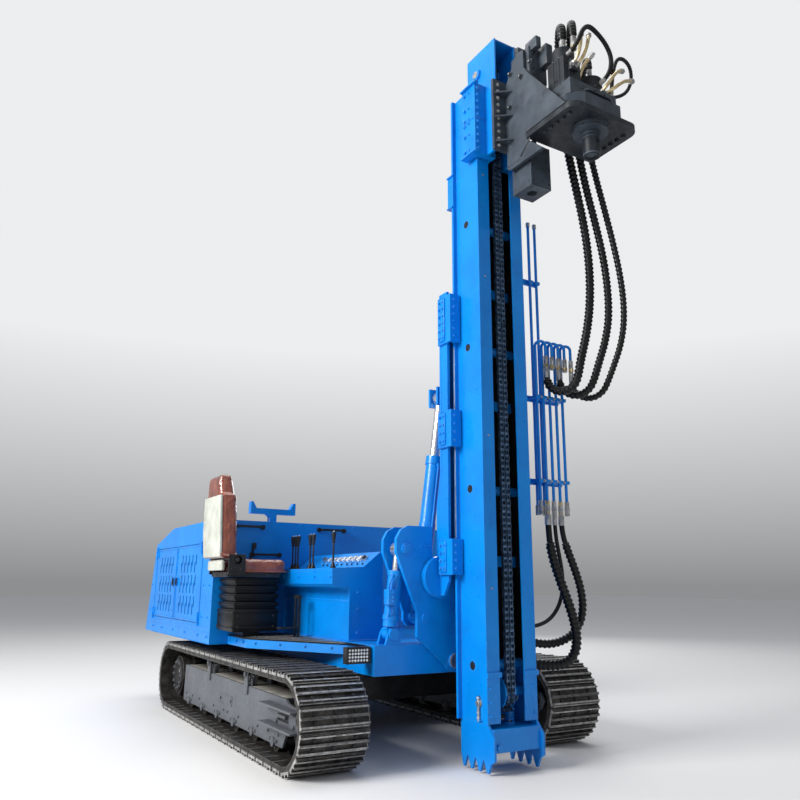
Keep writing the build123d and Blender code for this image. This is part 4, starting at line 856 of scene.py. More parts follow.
def makeTopBox(settings):
    paint, dark, metal = (bmesh.new() for _ in range(3))
    (x0, x1), (y0, y1), (z0, z1) = settings["x"], settings["y"], settings["z"]
    pinX, pinZ = chainSettings["x"], chainSettings["high"]
    for y, out in ((y0, -1), (y1, 1)):
        sideDisc(paint, (pinX, y, pinZ), out, 0.002, 0.016, 0.052, 32, 0.048)
        sideDisc(metal, (pinX, y + out * 0.012, pinZ), out, 0, 0.010, 0.030, 28, 0.027)
        seam = (y + out * 0.002, z0 + 0.002)
        weldBead(paint, (x0 + 0.01, *seam), (1.72, *seam), 0.0045)
    slab(paint, (x0 + 0.004, y0 + 0.008, z1 - 0.012), (x1 - 0.004, y1 - 0.008, z1 - 0.001), 0.001)
    # a black sheet inside the top box, painted shade
    slab(dark, (x0 + 0.013, y0 + 0.014, z0 + 0.01), (x0 + 0.016, y1 - 0.014, z1 - 0.014), 0.0006)
    place(paint, "mast_top_details", "mast", "blue_paint")
    place(dark, "mast_top_painted_shade", "mast", "black_paint")
    place(metal, "mast_top_pin", "mast", "steel")


makeTopBox(topBoxSettings)
print("mast is detailed")

# Head: clamp bolts, side plate bolts and seams, gear case, motors, elbows and short hoses

headSettings = {
    "slab": 1.772, "plate": 1.879, "clampSides": ((-0.065, -1), (0.445, 1)),
    "boltRows": (4.215, 0.056, 10),  # lowest, gap, count
    "clampBolts": (4.23, 4.36, 4.45, 4.49, 4.58, 4.71), "side": 0.14,
    "sideBolts": ((2.168, 4.752), (1.944, 4.792), (1.925, 4.240), (2.060, 4.700), (1.930, 4.52)),
    "castings": (  # two corners and the rounding
        ((1.915, 0.168, 4.66), (2.120, 0.340, 4.94), 0.012),
        ((1.935, 0.185, 4.93), (1.985, 0.320, 5.03), 0.010),
        ((2.060, 0.185, 4.90), (2.185, 0.235, 4.99), 0.008),
        ((2.085, 0.265, 4.78), (2.200, 0.330, 4.95), 0.010),
    ),
    "castingBolts": ((1.945, 0.20, 5.03), (1.975, 0.30, 5.03), (2.16, 0.21, 4.99), (2.08, 0.21, 4.99)),
    "case": (2.335, 0.429), "caseBolts": (16, 0.188, 0.226),  # count, reach along x and along y
    "motorX": 2.325, "spindle": (2.415, 0.435),
    "motors": ((0.305, 0.078, 4.78), (0.555, 0.084, 4.64)),  # across, radius, top
    "baseBolts": ((2.235, 2.295, 2.355, 2.415, 2.475), (0.19, 0.69)),
}


def makeClamp(paint, metal, settings):
    low, gap, count = settings["boltRows"]
    rows = [low + step * gap for step in range(count)]
    hexBolts(paint, settings["slab"], (-0.040, 0.420), rows, forward, 0.020)
    hexBolts(metal, settings["plate"], (0.068, 0.312), rows, forward, 0.019)
    for y, out in settings["clampSides"]:
        for x, across in ((1.645, 0.022), (1.695, 0.014)):
            hexBolts(paint, x, y, settings["clampBolts"], (0, out, 0), across)
        for z in (4.178, 4.748):
            sidePlate(paint, (1.612, 1.800), y, (z, z + 0.014), out, 0.02, 0.022, 0.003)
        weldBead(paint, (1.615, y + out * 0.001, 4.47), (1.770, y + out * 0.001, 4.47), 0.0045)
    weldBead(paint, (1.773, -0.06, 4.47), (1.773, 0.03, 4.47), 0.0045)


def makeSidePlate(slate, dark, bright, settings):
    side = settings["side"]
    weldBead(slate, (2.094, side, 4.29), (2.094, side, 4.73), 0.005)
    weldBead(slate, (1.861, side, 4.20), (1.861, side, 4.74), 0.0045)
    weldBead(slate, (1.885, side, 4.055), (2.02, side, 4.055), 0.004)
    # Gusset that stands on the base plate
    corners = [(x, side - 0.001, z) for x, z in ((2.100, 4.735), (2.100, 4.215), (2.500, 4.215))]
    pull(slate, slate.faces.new([slate.verts.new(corner) for corner in corners]), (0, -0.013, 0))
    for x, z in settings["sideBolts"]:
        sideDisc(slate, (x, side, z), -1, 0.002, 0.006, 0.022, 20)
        hexBolt(dark, (x, side - 0.006, z), rightward, 0.022)
        sideDisc(bright, (x, side - 0.018, z), -1, 0, 0.0035, 0.007, 12)
    lean = Matrix.Rotation(radians(-38), 4, "Y")  # slot across the lower corner; the slot is a dark strip, painted shade
    slab(dark, (2.015, side - 0.0015, 4.098), (2.140, side + 0.002, 4.116), 0.004, lean)
    slab(slate, (2.005, side - 0.006, 4.112), (2.150, side, 4.122), 0.002, lean)
    # Second casting and its lugs, behind the side plate
    for low, high, edge in settings["castings"]:
        slab(slate, low, high, edge)
    for spot in settings["castingBolts"]:
        hexBolt(dark, spot, upward, 0.020)
    hexBolts(dark, 2.120, 0.20, (4.70, 4.76, 4.82, 4.88), forward, 0.017)
    # Square guide tube: plugs, dots and the seam above them
    for z in (3.88, 4.00, 4.13):
        for y in (0.205, 0.345):
            rod(dark, (2.0795, y, z), (2.0822, y, z), 0.007, 14)
        for x in (1.905, 2.055):
            rod(dark, (x, 0.1855, z), (x, 0.1828, z), 0.007, 14)
    weldBead(slate, (1.885, 0.183, 4.145), (2.078, 0.183, 4.145), 0.0045)


def makeGearCase(slate, dark, settings):
    caseX, caseY = settings["case"]
    spindle = spindleX, spindleY = settings["spindle"]
    eightSides = Matrix.Diagonal((0.79, 0.955, 1, 1)) @ Matrix.Rotation(pi / 8, 4, "Z")
    for z in (4.326, 4.372):  # split flange
        made = bmesh.ops.create_circle(slate, cap_ends=True, segments=8, radius=0.262,
                                       matrix=Matrix.Translation((caseX, caseY, z)) @ eightSides)
        pull(slate, made["verts"][0].link_faces[0], (0, 0, 0.012))
    count, alongX, alongY = settings["caseBolts"]
    for x, y in ringSpots(count, 1, 0.5):
        x, y = caseX + alongX * x, caseY + alongY * y
        hexBolt(dark, (x, y, 4.384), upward, 0.017)
        hexBolt(dark, (x, y, 4.326), downward, 0.015)
    # Bolts through the base plate, and the flange ring with its screws
    xs, ys = settings["baseBolts"]
    hexBolts(dark, xs, ys, 4.168, downward, 0.024)
    hexBolts(dark, xs, ys, 4.212, upward, 0.024)
    post(slate, spindle, 4.172, 4.150, 0.128, 48, 0.124)
    post(slate, spindle, 4.152, 4.136, 0.096, 48, 0.086)
    for x, y in ringSpots(8, 0.111, 0.5):
        hexBolt(dark, (spindleX + x, spindleY + y, 4.150), downward, 0.019)


def makeMotor(cast, bright, x, y, radius, top):
    # Stacked rings, ribs with long screws, the cap's screws and a port block
    upper, cap = top - 0.112, top - 0.004
    for z, wide, tall in ((4.452, 1.06, 0.020), (4.52, 1.04, 0.026), (upper, 1.04, 0.022), (cap, 0.86, 0.014)):
        post(cast, (x, y), z, z + tall, radius * wide, 32, radius * wide * 0.985)
    for ribX, ribY in ringSpots(8, radius * 0.985, 0.5):
        post(cast, (x + ribX, y + ribY), 4.455, top - 0.092, 0.013, 12)
        hexBolt(bright, (x + ribX, y + ribY, top - 0.092), upward, 0.013)
        core = Vector((x, y, top - 0.085))  # out of sight, on the motor's own axis
        slab(cast, core - Vector((0.004, 0.004, 0.005)), core + Vector((0.004, 0.004, 0.005)))
    for capX, capY in ringSpots(6, radius * 0.66):
        hexBolt(bright, (x + capX, y + capY, top + 0.009), upward, 0.012)
    slab(cast, (x + radius * 0.7, y - 0.035, top - 0.20), (x + radius + 0.030, y + 0.035, top - 0.12), 0.006)
    for port in (y - 0.018, y + 0.018):
        rod(bright, (x + radius + 0.028, port, top - 0.16), (x + radius + 0.050, port, top - 0.16), 0.011, 12)


def makeHead(settings):
    paint, slate, metal, dark, cast, bright = (bmesh.new() for _ in range(6))
    makeClamp(paint, metal, settings)
    makeSidePlate(slate, dark, bright, settings)
    makeGearCase(slate, dark, settings)
    for y, radius, top in settings["motors"]:
        makeMotor(cast, bright, settings["motorX"], y, radius, top)
    place(paint, "clamp_details", "head", "blue_paint")
    place(slate, "head_details", "head", "slate_paint")
    place(metal, "head_bolts", "head", "steel")
    place(dark, "head_dark_bolts_and_slot_shade", "head", "motor_paint")
    place(cast, "motor_castings", "head", "motor_paint")
    place(bright, "motor_screws", "head", "steel")
    # Collars at the lower end of the spindle; the lowest cap would close its bore
    turned = bmesh.new()
    for z, wide, tall in ((3.958, 0.0590, 0.012), (4.085, 0.0600, 0.012), (4.105, 0.0655, 0.030)):
        post(turned, settings["spindle"], z, z + tall, wide, 48, wide * 0.985)
    caps = [face for face in turned.faces if len(face.verts) > 8 and face.calc_center_median().z < 3.96]
    bmesh.ops.delete(turned, geom=caps, context="FACES")
    place(turned, "spindle_collars", "spindle_shaft", "slate_paint")


makeHead(headSettings)

# Elbows from the motors to the hoses, in zinc-plated tube with hexagon nuts
elbowSettings = {
    "tube": 0.0125, "nut": 0.021,
    "runs": [
        ((2.425, .287, 4.62), (2.470, .287, 4.63), (2.505, .290, 4.70),
         (2.500, .310, 4.79), (2.470, .345, 4.86)),
        ((2.425, .323, 4.62), (2.480, .330, 4.64), (2.512, .350, 4.73),
         (2.500, .385, 4.83), (2.460, .430, 4.89)),
        ((2.430, .537, 4.48), (2.490, .540, 4.50), (2.520, .580, 4.58),
         (2.505, .650, 4.66), (2.480, .720, 4.70)),
        ((2.430, .573, 4.48), (2.500, .590, 4.49), (2.530, .640, 4.54),
         (2.520, .720, 4.60), (2.500, .790, 4.63)),
        ((2.325, .420, 4.45), (2.325, .430, 4.56), (2.350, .440, 4.66),
         (2.390, .450, 4.72), (2.440, .470, 4.76)),
    ],
}


def makeElbows(settings):
    tube, nuts = bmesh.new(), bmesh.new()
    wide = settings["nut"]
    for run in settings["runs"]:
        line, _ = spaced(routeLine("elbow.line", run), 0.008)
        tubeAlong(tube, line, [settings["tube"]] * len(line), 12)
        for spot, ahead in ((line[0], line[1]), (line[-1], line[-2])):
            aim = (ahead - spot).normalized()
            rod(nuts, spot - aim * 0.006, spot + aim * 0.020, wide, 6)
            rod(nuts, spot + aim * 0.020, spot + aim * 0.034, wide * 0.86, 20, wide * 0.74)
            rod(nuts, spot - aim * 0.020, spot - aim * 0.004, wide * 0.82, 6)
    place(tube, "elbow_tubes", "head", "brass")
    place(nuts, "elbow_nuts", "head", "steel")


makeElbows(elbowSettings)

# Short hoses that join the elbows on top of the head
jumperSettings = {
    "pitch": 0.016, "depth": 0.16, "sides": 14,
    "runs": [
        ("jumper_hose_low", 0.017, [
            (2.404, .285, 4.720), (2.450, .281, 4.724), (2.505, .285, 4.770), (2.515, .320, 4.860),
            (2.490, .400, 4.935), (2.465, .500, 4.945), (2.462, .590, 4.890), (2.472, .630, 4.790),
            (2.468, .622, 4.690), (2.440, .600, 4.625), (2.406, .580, 4.600),
        ]),
        ("jumper_hose_side", 0.014, [
            (2.330, .640, 4.570), (2.330, .700, 4.574), (2.340, .800, 4.600), (2.362, .890, 4.660),
            (2.390, .920, 4.750), (2.420, .885, 4.835), (2.440, .795, 4.860), (2.456, .705, 4.815),
            (2.464, .655, 4.710), (2.466, .625, 4.590), (2.465, .610, 4.460),
        ]),
    ],
}


def makeJumpers(settings):
    ends = bmesh.new()
    for name, radius, run in settings["runs"]:
        line, length = spaced(routeLine(name + ".line", run), settings["pitch"] / 4)
        radii = [radius * (1 if at % 4 < 2 else 1 - settings["depth"]) for at in range(len(line))]
        bm = bmesh.new()
        tubeAlong(bm, line, radii, settings["sides"])
        hose = place(bm, name, "head", "rubber", 50)
        for spot, near in ((line[0], line[3]), (line[-1], line[-4])):
            aim = (near - spot).normalized()
            rod(ends, spot - aim * 0.012, spot + aim * 0.034, radius * 1.12, 20, radius * 1.06)
            rod(ends, spot - aim * 0.020, spot - aim * 0.006, radius * 1.30, 6)
    place(ends, "jumper_ferrules", "head", "steel")


makeJumpers(jumperSettings)
print("head is detailed")

# Ferrules and nuts where the big hoses meet the head, the pipes and the glands
ferruleSettings = {"long": 0.072, "nut": 0.026, "slimmest": 0.016, "groove": (0.012, 0.005)}


def makeFerrules(settings):
    groups = {"head": bmesh.new(), "mast": bmesh.new(), "carrier": bmesh.new()}
    nut, (groove, grooveWide) = settings["nut"], settings["groove"]
    for radius, bodies, route in hoseRoutes.values():
        wide = max(radius * 0.66, settings["slimmest"])
        for spot, ahead, body in ((route[0], route[1], bodies[0]), (route[-1], route[-2], bodies[1])):
            aim = (Vector(ahead) - Vector(spot)).normalized()
            spot = Vector(spot) + Vector((tracksX, planeY, 0))
            bm = groups[body]
            rod(bm, spot, spot + aim * nut, wide * 1.12, 6)
            rod(bm, spot + aim * nut * 0.9, spot + aim * settings["long"], wide * 1.04, 24, wide)
            for step in range(1, 4):
                at = nut + step * groove
                rod(bm, spot + aim * at, spot + aim * (at + grooveWide), wide * 1.10, 24)
    for body, bm in groups.items():
        place(bm, "hose_ferrules_" + body, body, "steel")


makeFerrules(ferruleSettings)

# Steel pipes beside the mast: nuts, saddles and bolts on the brackets
pipeSettings = {
    "x": 1.585, "rows": (0.594, 0.656, 0.718, 0.780, 0.842), "low": 1.68, "high": 2.75,
    "brackets": (1.85, 2.47), "between": (0.625, 0.687, 0.749, 0.811), "topShift": (0.05, 0.056),
    "tall": ((1.523, 0.62), (1.523, 0.685)), "tallBracket": 3.40, "saddle": (0.022, 0.013),
}


def makePipeParts(settings):
    nuts, gold, paint, bolts = (bmesh.new() for _ in range(4))
    pipeX, low, high = settings["x"], settings["low"], settings["high"]
    halfWide, halfTall = settings["saddle"]

    def saddle(x0, x1, y, z):
        slab(paint, (x0, y - halfWide, z - halfTall), (x1, y + halfWide, z + halfTall), 0.003)

    for number, y in enumerate(settings["rows"]):
        metal = gold if number % 2 else nuts
        post(metal, (pipeX, y), low - 0.002, low + 0.030, 0.0175, 6)
        post(nuts, (pipeX, y), low - 0.040, low - 0.014, 0.0205, 6)
        post(metal, (pipeX, y), low - 0.072, low - 0.046, 0.0190, 6)
        top = (pipeX + settings["topShift"][0], y + settings["topShift"][1])
        post(nuts, top, high - 0.002, high + 0.028, 0.0175, 6)
        post(gold, top, high - 0.060, high - 0.034, 0.0200, 6)
    for z in settings["brackets"]:
        for y in settings["rows"]:
            saddle(pipeX - 0.014, pipeX + 0.020, y, z)
        hexBolts(bolts, pipeX + 0.018, settings["between"], z, forward, 0.013)
        hexBolt(bolts, (pipeX - 0.070, 0.46, z + 0.010), upward, 0.016)
    for x, y in settings["tall"]:
        post(nuts, (x, y), 3.868, 3.902, 0.0165, 6)
        saddle(x - 0.018, x + 0.020, y, settings["tallBracket"])
    place(nuts, "pipe_nuts", "mast", "steel")
    place(gold, "pipe_brass_nuts", "mast", "brass")
    place(paint, "pipe_saddles", "mast", "blue_paint")
    place(bolts, "pipe_saddle_bolts", "mast", "steel")


makePipeParts(pipeSettings)
repaint("steel_pipes", "blue_paint")
print("pipes and ferrules are on")

# Slide frame and guide blocks: cover bolts and welds
guideSettings = {
    "faces": ((-0.105, -1), (0.485, 1)), "x": 1.345,
    "blocks": ((1.185, 1.420, 4), (2.050, 2.310, 4), (2.810, 3.170, 6)),  # bottom, top, rows of bolts
}


def makeGuides(settings):
    paint = bmesh.new()
    x = settings["x"]
    for (y, out), (low, high, rows) in product(settings["faces"], settings["blocks"]):
        sidePlate(paint, (x, x + 0.075), y, (low + 0.018, high - 0.018), out, 0.004, 0.010, 0.005)
        zs = [low + 0.042 + (high - low - 0.084) * step / (rows - 1) for step in range(rows)]
        hexBolts(paint, x + 0.018, y + out * 0.010, zs, (0, out, 0), 0.019)
        hexBolts(paint, x + 0.058, y + out * 0.010, zs, (0, out, 0), 0.015)
        hexBolts(paint, 1.485, y - out * 0.03, zs, forward, 0.015)
        for z in (low + 0.006, high - 0.006):
            weldBead(paint, (1.332, y, z), (1.40, y, z), 0.004)
    for y in (-0.086, 0.466):
        weldBead(paint, (1.335, y, 1.90), (1.335, y, 3.20), 0.0045, 0.012)
    place(paint, "guide_covers", "carrier", "blue_paint")


makeGuides(guideSettings)

# Boom: pin rings, cylinder bands, the valve block and its pipes
boomSettings = {
    "front": 1.265, "pins": ((-0.33, 1.355, 0.042), (0.06, 0.622, 0.052)),  # across, height, radius
    "cylinderX": 1.160, "tilt": ((-0.395, 0.80), (-0.33, 1.355)), "swing": ((-0.175, 0.905), (0.03, 2.47)),
    "tiltBands": (0.105, 0.395), "swingBands": ((0.12, 0.0615), (0.62, 0.0595), (1.085, 0.0625)),
    "feed": (0.14, 1.06), "valvePipe": 0.0065, "feedPipe": 0.007,
}


def cylinderLine(settings, name):
    # Foot of the cylinder and the way it points, in the boom's plane
    (y0, z0), (y1, z1) = settings[name]
    return Vector((settings["cylinderX"], y0, z0)), Vector((0, y1 - y0, z1 - z0)).normalized()


def makeBoom(settings):
    paint, block, pipes, swing = (bmesh.new() for _ in range(4))
    front = settings["front"]
    for y, z, radius in settings["pins"]:
        rod(paint, (front - 0.004, y, z), (front + 0.012, y, z), radius, 36, radius * 0.95)
        rod(paint, (front + 0.010, y, z), (front + 0.020, y, z), radius * 0.62, 28, radius * 0.56)
        for boltY, boltZ in ringSpots(4, radius * 0.76, 0.5):
            hexBolt(paint, (front + 0.011, y + boltY, z + boltZ), forward, 0.012)
    place(paint, "boom_pin_rings", "boom", "blue_paint")
    # Valve block with its pipes, on the barrel of the tilt cylinder
    base, aim = cylinderLine(settings, "tilt")
    for at in settings["tiltBands"]:
        rod(block, base + aim * (at - 0.014), base + aim * (at + 0.014), 0.0565, 32)
    spot = base + aim * 0.24 + Vector((0.045, -0.045, 0))
    corner = Vector((0.035, 0.035, 0.05))
    slab(block, spot - corner, spot + corner, 0.006)
    for z in (-0.028, 0.0, 0.028):
        hexBolt(block, spot + Vector((corner.x, 0, z)), forward, 0.016)
    low, high = settings["tiltBands"]
    for off, (out, bend, end) in product((-0.014, 0.014), ((1, high - 0.03, high), (-1, low + 0.025, low))):
        run = [
            spot + Vector((0, off, out * 0.05)), spot + Vector((0, off, out * 0.085)),
            base + aim * bend + Vector((0.058, -0.04 + off, 0)),
            base + aim * end + Vector((0.030, -0.02 + off, 0)),
        ]
        line, _ = spaced(routeLine("valve.line", run), 0.010)
        tubeAlong(pipes, line, [settings["valvePipe"]] * len(line), 10)
    place(block, "tilt_valve_block", "tilt_barrel", "blue_paint")
    place(pipes, "tilt_valve_pipes", "tilt_barrel", "blue_paint")
    # Swing cylinder: head gland, bands and a feed pipe with its unions
    base, aim = cylinderLine(settings, "swing")
    for at, wide in settings["swingBands"]:
        rod(swing, base + aim * (at - 0.02), base + aim * (at + 0.02), wide, 36)
    ends = [base + aim * at for at in settings["feed"]]
    line, _ = spaced([end + Vector((0.066, 0, 0)) for end in ends], 0.05)
    tubeAlong(swing, line, [settings["feedPipe"]] * len(line), 10)
    for end in ends:
        rod(swing, end + Vector((0.045, 0, 0)), end + Vector((0.076, 0, 0)), 0.013, 6)
    place(swing, "swing_cylinder_details", "swing_barrel", "blue_paint")


makeBoom(boomSettings)
print("slide frame and boom are detailed")

# Seat: cushion and back as stuffed leather, with piping and a pale board behind

seatSettings = {
    "voxel": 0.006, "quickVoxel": 0.012, "pressure": 4.0, "frames": 20, "cap": 0.010,
    "hollow": 0.010, "piping": 0.0055, "recliner": (-1.113, 1.290),
    "cushion": ((-0.350, 0.090), (-1.100, -0.693), (1.203, 1.283)),
    "back": {"x": -0.130, "levels": [(1.312, -1.226, -1.112, 0.222), (1.500, -1.238, -1.118, 0.234),
                                        (1.775, -1.246, -1.132, 0.212), (1.800, -1.248, -1.144, 0.178),
                                        (1.948, -1.250, -1.162, 0.146)]},
}


def stuffed(bm, name, body, finish, swaps, settings):
    bmesh.ops.recalc_face_normals(bm, faces=bm.faces)
    rough = bpy.data.meshes.new(name + ".rough")
    bm.to_mesh(rough)
    bm.free()
    piece = bpy.data.objects.new(name, rough)
    bpy.context.scene.collection.objects.link(piece)
    remesh = piece.modifiers.new("remesh", "REMESH")
    remesh.mode = "VOXEL"
    remesh.voxel_size = settings["voxel"]
    bpy.context.view_layer.update()
    even = bpy.data.meshes.new_from_object(piece.evaluated_get(bpy.context.evaluated_depsgraph_get()))
    piece.modifiers.clear()
    piece.data = even
    rest = [vert.co.copy() for vert in even.vertices]
    cloth = piece.modifiers.new("cloth", "CLOTH")
    cloth.settings.use_pressure = True
    cloth.settings.uniform_pressure_force = settings["pressure"]
    cloth.settings.effector_weights.gravity = 0
    cloth.settings.quality = 4
    for number in range(1, settings["frames"] + 1):
        bpy.context.scene.frame_set(number)
    swollen = bpy.data.meshes.new_from_object(piece.evaluated_get(bpy.context.evaluated_depsgraph_get()))
    piece.modifiers.clear()
    bpy.context.scene.frame_set(1)
    for vert, home in zip(swollen.vertices, rest):  # no point moves further than the cap
        move = vert.co - home
        if move.length > settings["cap"]:
            vert.co = home + move.normalized() * settings["cap"]
    piece.data = swollen
    smooth = piece.modifiers.new("smooth", "SUBSURF")
    smooth.levels = smooth.render_levels = 1
    piece.data.shade_smooth()
    piece.data.materials.clear()
    piece.data.materials.append(finishes[finish])
    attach(piece, body)
    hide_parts(*swaps)


def makeCushion(settings):
    (x0, x1), (y0, y1), (z0, z1) = settings["cushion"]
    bm = bmesh.new()
    slab(bm, (x0, y0, z0), (x1, y1, z1))
    bevelEdges(bm, [e for e in bm.edges if abs(e.verts[0].co.z - e.verts[1].co.z) > 0.05], 0.055, 5)
    bevelEdges(bm, [e for e in bm.edges if min(v.co.z for v in e.verts) > z1 - 0.001], 0.030, 4)
    for vert in bm.verts:  # a hollow for the sitter, with its sides raised
        across = (vert.co.x - (x0 + x1) / 2) / ((x1 - x0) / 2)
        if vert.co.z > z1 - 0.03:
            vert.co.z += settings["hollow"] * across * across
    stuffed(bm, "seat_cushion_leather", "machine", "leather", ("seat_cushion",), settings)
    # Piping round the lower edge, its corners cut
    edge = [
        (x0 + 0.05, y0 - 0.004), (x1 - 0.05, y0 - 0.004), (x1 - 0.010, y0 + 0.012), (x1 + 0.004, y0 + 0.05),
        (x1 + 0.004, y1 - 0.05), (x1 - 0.012, y1 - 0.010), (x1 - 0.05, y1 + 0.004), (x0 + 0.05, y1 + 0.004),
        (x0 + 0.010, y1 - 0.010), (x0 - 0.004, y1 - 0.05), (x0 - 0.004, y0 + 0.05), (x0 + 0.012, y0 + 0.010),
    ]
    line, _ = spaced([Vector((x, y, z0 + 0.004)) for x, y in edge + edge[:1]], 0.02)
    piping = bmesh.new()
    tubeAlong(piping, line, [settings["piping"]] * len(line), 8)
    place(piping, "seat_piping", "machine", "leather")


def makeSeatBack(settings):
    middle, levels = settings["back"]["x"], settings["back"]["levels"]
    bm = bmesh.new()
    rings = []
    for z, rear, front, half in levels:  # a flat face at each level, bridged from one to the next
        made = slab(bm, (middle - half, rear, z - 0.001), (middle + half, front, z + 0.001))
        faces = dict.fromkeys(face for vert in made for face in vert.link_faces)
        spare = [f for f in faces if abs(f.normal.z) < 0.5 or f.calc_center_median().z < z]
        bmesh.ops.delete(bm, geom=spare, context="FACES_ONLY")
        bmesh.ops.delete(bm, geom=[e for e in bm.edges if not e.link_faces], context="EDGES")
        rings.append([f for f in bm.faces if abs(f.calc_center_median().z - z) < 0.002][0])
    for below, above in zip(rings, rings[1:]):
        bmesh.ops.bridge_loops(bm, edges=list(below.edges) + list(above.edges))
    bmesh.ops.delete(bm, geom=rings[1:-1], context="FACES_ONLY")
    sharp = [e for e in bm.edges if len(e.link_faces) == 2 and e.calc_face_angle(0) > radians(50)]
    bevelEdges(bm, sharp, 0.026, 4)
    stuffed(bm, "seat_back_leather", "machine", "leather", ("seat_back",), settings)
    # Pale board behind the two lower levels
    board = bmesh.new()
    for (low, rearLow, _, halfLow), (high, rearHigh, _, halfHigh) in zip(levels[:2], levels[1:3]):
        for vert in slab(board, (middle - 1, rearLow - 0.016, low), (middle + 1, rearLow + 0.004, high)):
            top = vert.co.z > (low + high) / 2
            half = (halfHigh if top else halfLow) - 0.012
            vert.co.x = middle + (half if vert.co.x > middle else -half)
            vert.co.y += (rearHigh - rearLow) if top else 0
    bmesh.ops.remove_doubles(board, verts=board.verts, dist=0.002)
    joint = levels[1][0]  # the faces between the board's two parts go
    level = [f for f in board.faces if abs(f.normal.z) > 0.9]
    inside = [f for f in level if abs(f.calc_center_median().z - joint) < 0.01]
    bmesh.ops.delete(board, geom=inside, context="FACES_ONLY")
    roundEdges(board, board.verts, 0.005)
    place(board, "seat_back_board", "machine", "board")


def makeSeatFittings(settings):
    # Recliner joints, slide rails and bolts under the cushion
    metal, dark, wrap = (bmesh.new() for _ in range(3))
    y, z = settings["recliner"]
    for x, out in ((-0.371, -1), (0.111, 1)):
        rod(dark, (x, y, z), (x + out * 0.014, y, z), 0.036, 28, 0.032)
        hexBolt(metal, (x + out * 0.014, y, z), (out, 0, 0), 0.022)
        hexBolts(metal, x, (-1.150, -1.080), 1.225, (out, 0, 0), 0.014)
    for y in (-1.08, -0.86):
        slab(dark, (-0.330, y, 1.168), (0.070, y + 0.030, 1.198), 0.003)
    hexBolts(metal, (-0.32, -0.21, -0.06, 0.03), -1.161, 1.182, rightward, 0.013)
    slab(wrap, (-0.345, -1.200, 1.212), (0.010, -1.170, 1.292), 0.011)
    place(wrap, "seat_base_wrap", "machine", "board")
    place(metal, "seat_bolts", "machine", "black_paint")
    place(dark, "seat_joints", "machine", "black_paint")


makeCushion(seatSettings)
makeSeatBack(seatSettings)
makeSeatFittings(seatSettings)

# Rubber bellows with rounded folds, and the seat base with its ribs
bellowsSettings = {
    "x": (-0.335, 0.045), "y": (-1.100, -0.740), "z": (0.930, 1.165), "folds": 4, "foot": 0.765,
    "ribs": (0.785, 0.900), "bolts": (0.80, 0.88),
    "fold": ((0.10, 0.016), (0.30, 0.007), (0.5, 0), (0.70, 0.007)),  # share of a fold's height, inset
}


def makeBellows(settings):
    (x0, x1), (y0, y1), (z0, z1) = settings["x"], settings["y"], settings["z"]
    bm, bolts = bmesh.new(), bmesh.new()

    def layer(low, high, inset, edge):
        slab(bm, (x0 + inset, y0 + inset, low), (x1 - inset, y1 - inset, high), edge)

    layer(settings["foot"], z0, 0, 0.008)
    for z in settings["ribs"]:
        layer(z, z + 0.014, -0.004, 0.004)
    tall = (z1 - z0) / settings["folds"]
    for step in range(settings["folds"]):
        z = z0 + step * tall
        for share, inset in settings["fold"]:
            layer(z + tall * share - 0.004, z + tall * (share + 0.20), inset, 0.0045)
        layer(z - 0.004, z + tall * 0.12, 0.022, 0.004)
    place(bm, "seat_bellows_rubber", "machine", "rubber", 50, ("seat_bellows",))
    hexBolts(bolts, (x0 + 0.03, x1 - 0.03), y0, settings["bolts"], rightward, 0.014)
    hexBolts(bolts, x1, (y0 + 0.04, y1 - 0.04), settings["bolts"], forward, 0.014)
    place(bolts, "seat_base_bolts", "machine", "black_paint")


makeBellows(bellowsSettings)
print("seat is made")

# Console: gauges with dials and bezels, knobs, lever boots, edge trim and screws
consoleSettings = {
    "panelY": -0.349, "panelZ": 1.295, "slope": 38.6,
    "gauges": ((0.41, 0.024), (0.50, 0.024), (0.58, 0.026), (0.66, 0.026),
               (0.745, 0.030), (0.83, 0.030), (0.915, 0.030)),  # place along the console, radius
    "keys": (0.33, 1.00), "switches": (0.37, 0.45, 0.54, 0.62, 0.70, 0.79, 0.87, 0.96, 1.04),
    "levers": (0.08, 0.14, 0.19, 0.43, 0.49, 0.85), "leverY": -0.54,
    "boot": ((1.2315, 0.026), (1.240, 0.021), (1.249, 0.017), (1.258, 0.013), (1.267, 0.010)),
    "grip": (1.436, 1.448, 1.460, 1.472), "screws": (-0.345, -0.05, 0.24, 0.53, 0.80),
}


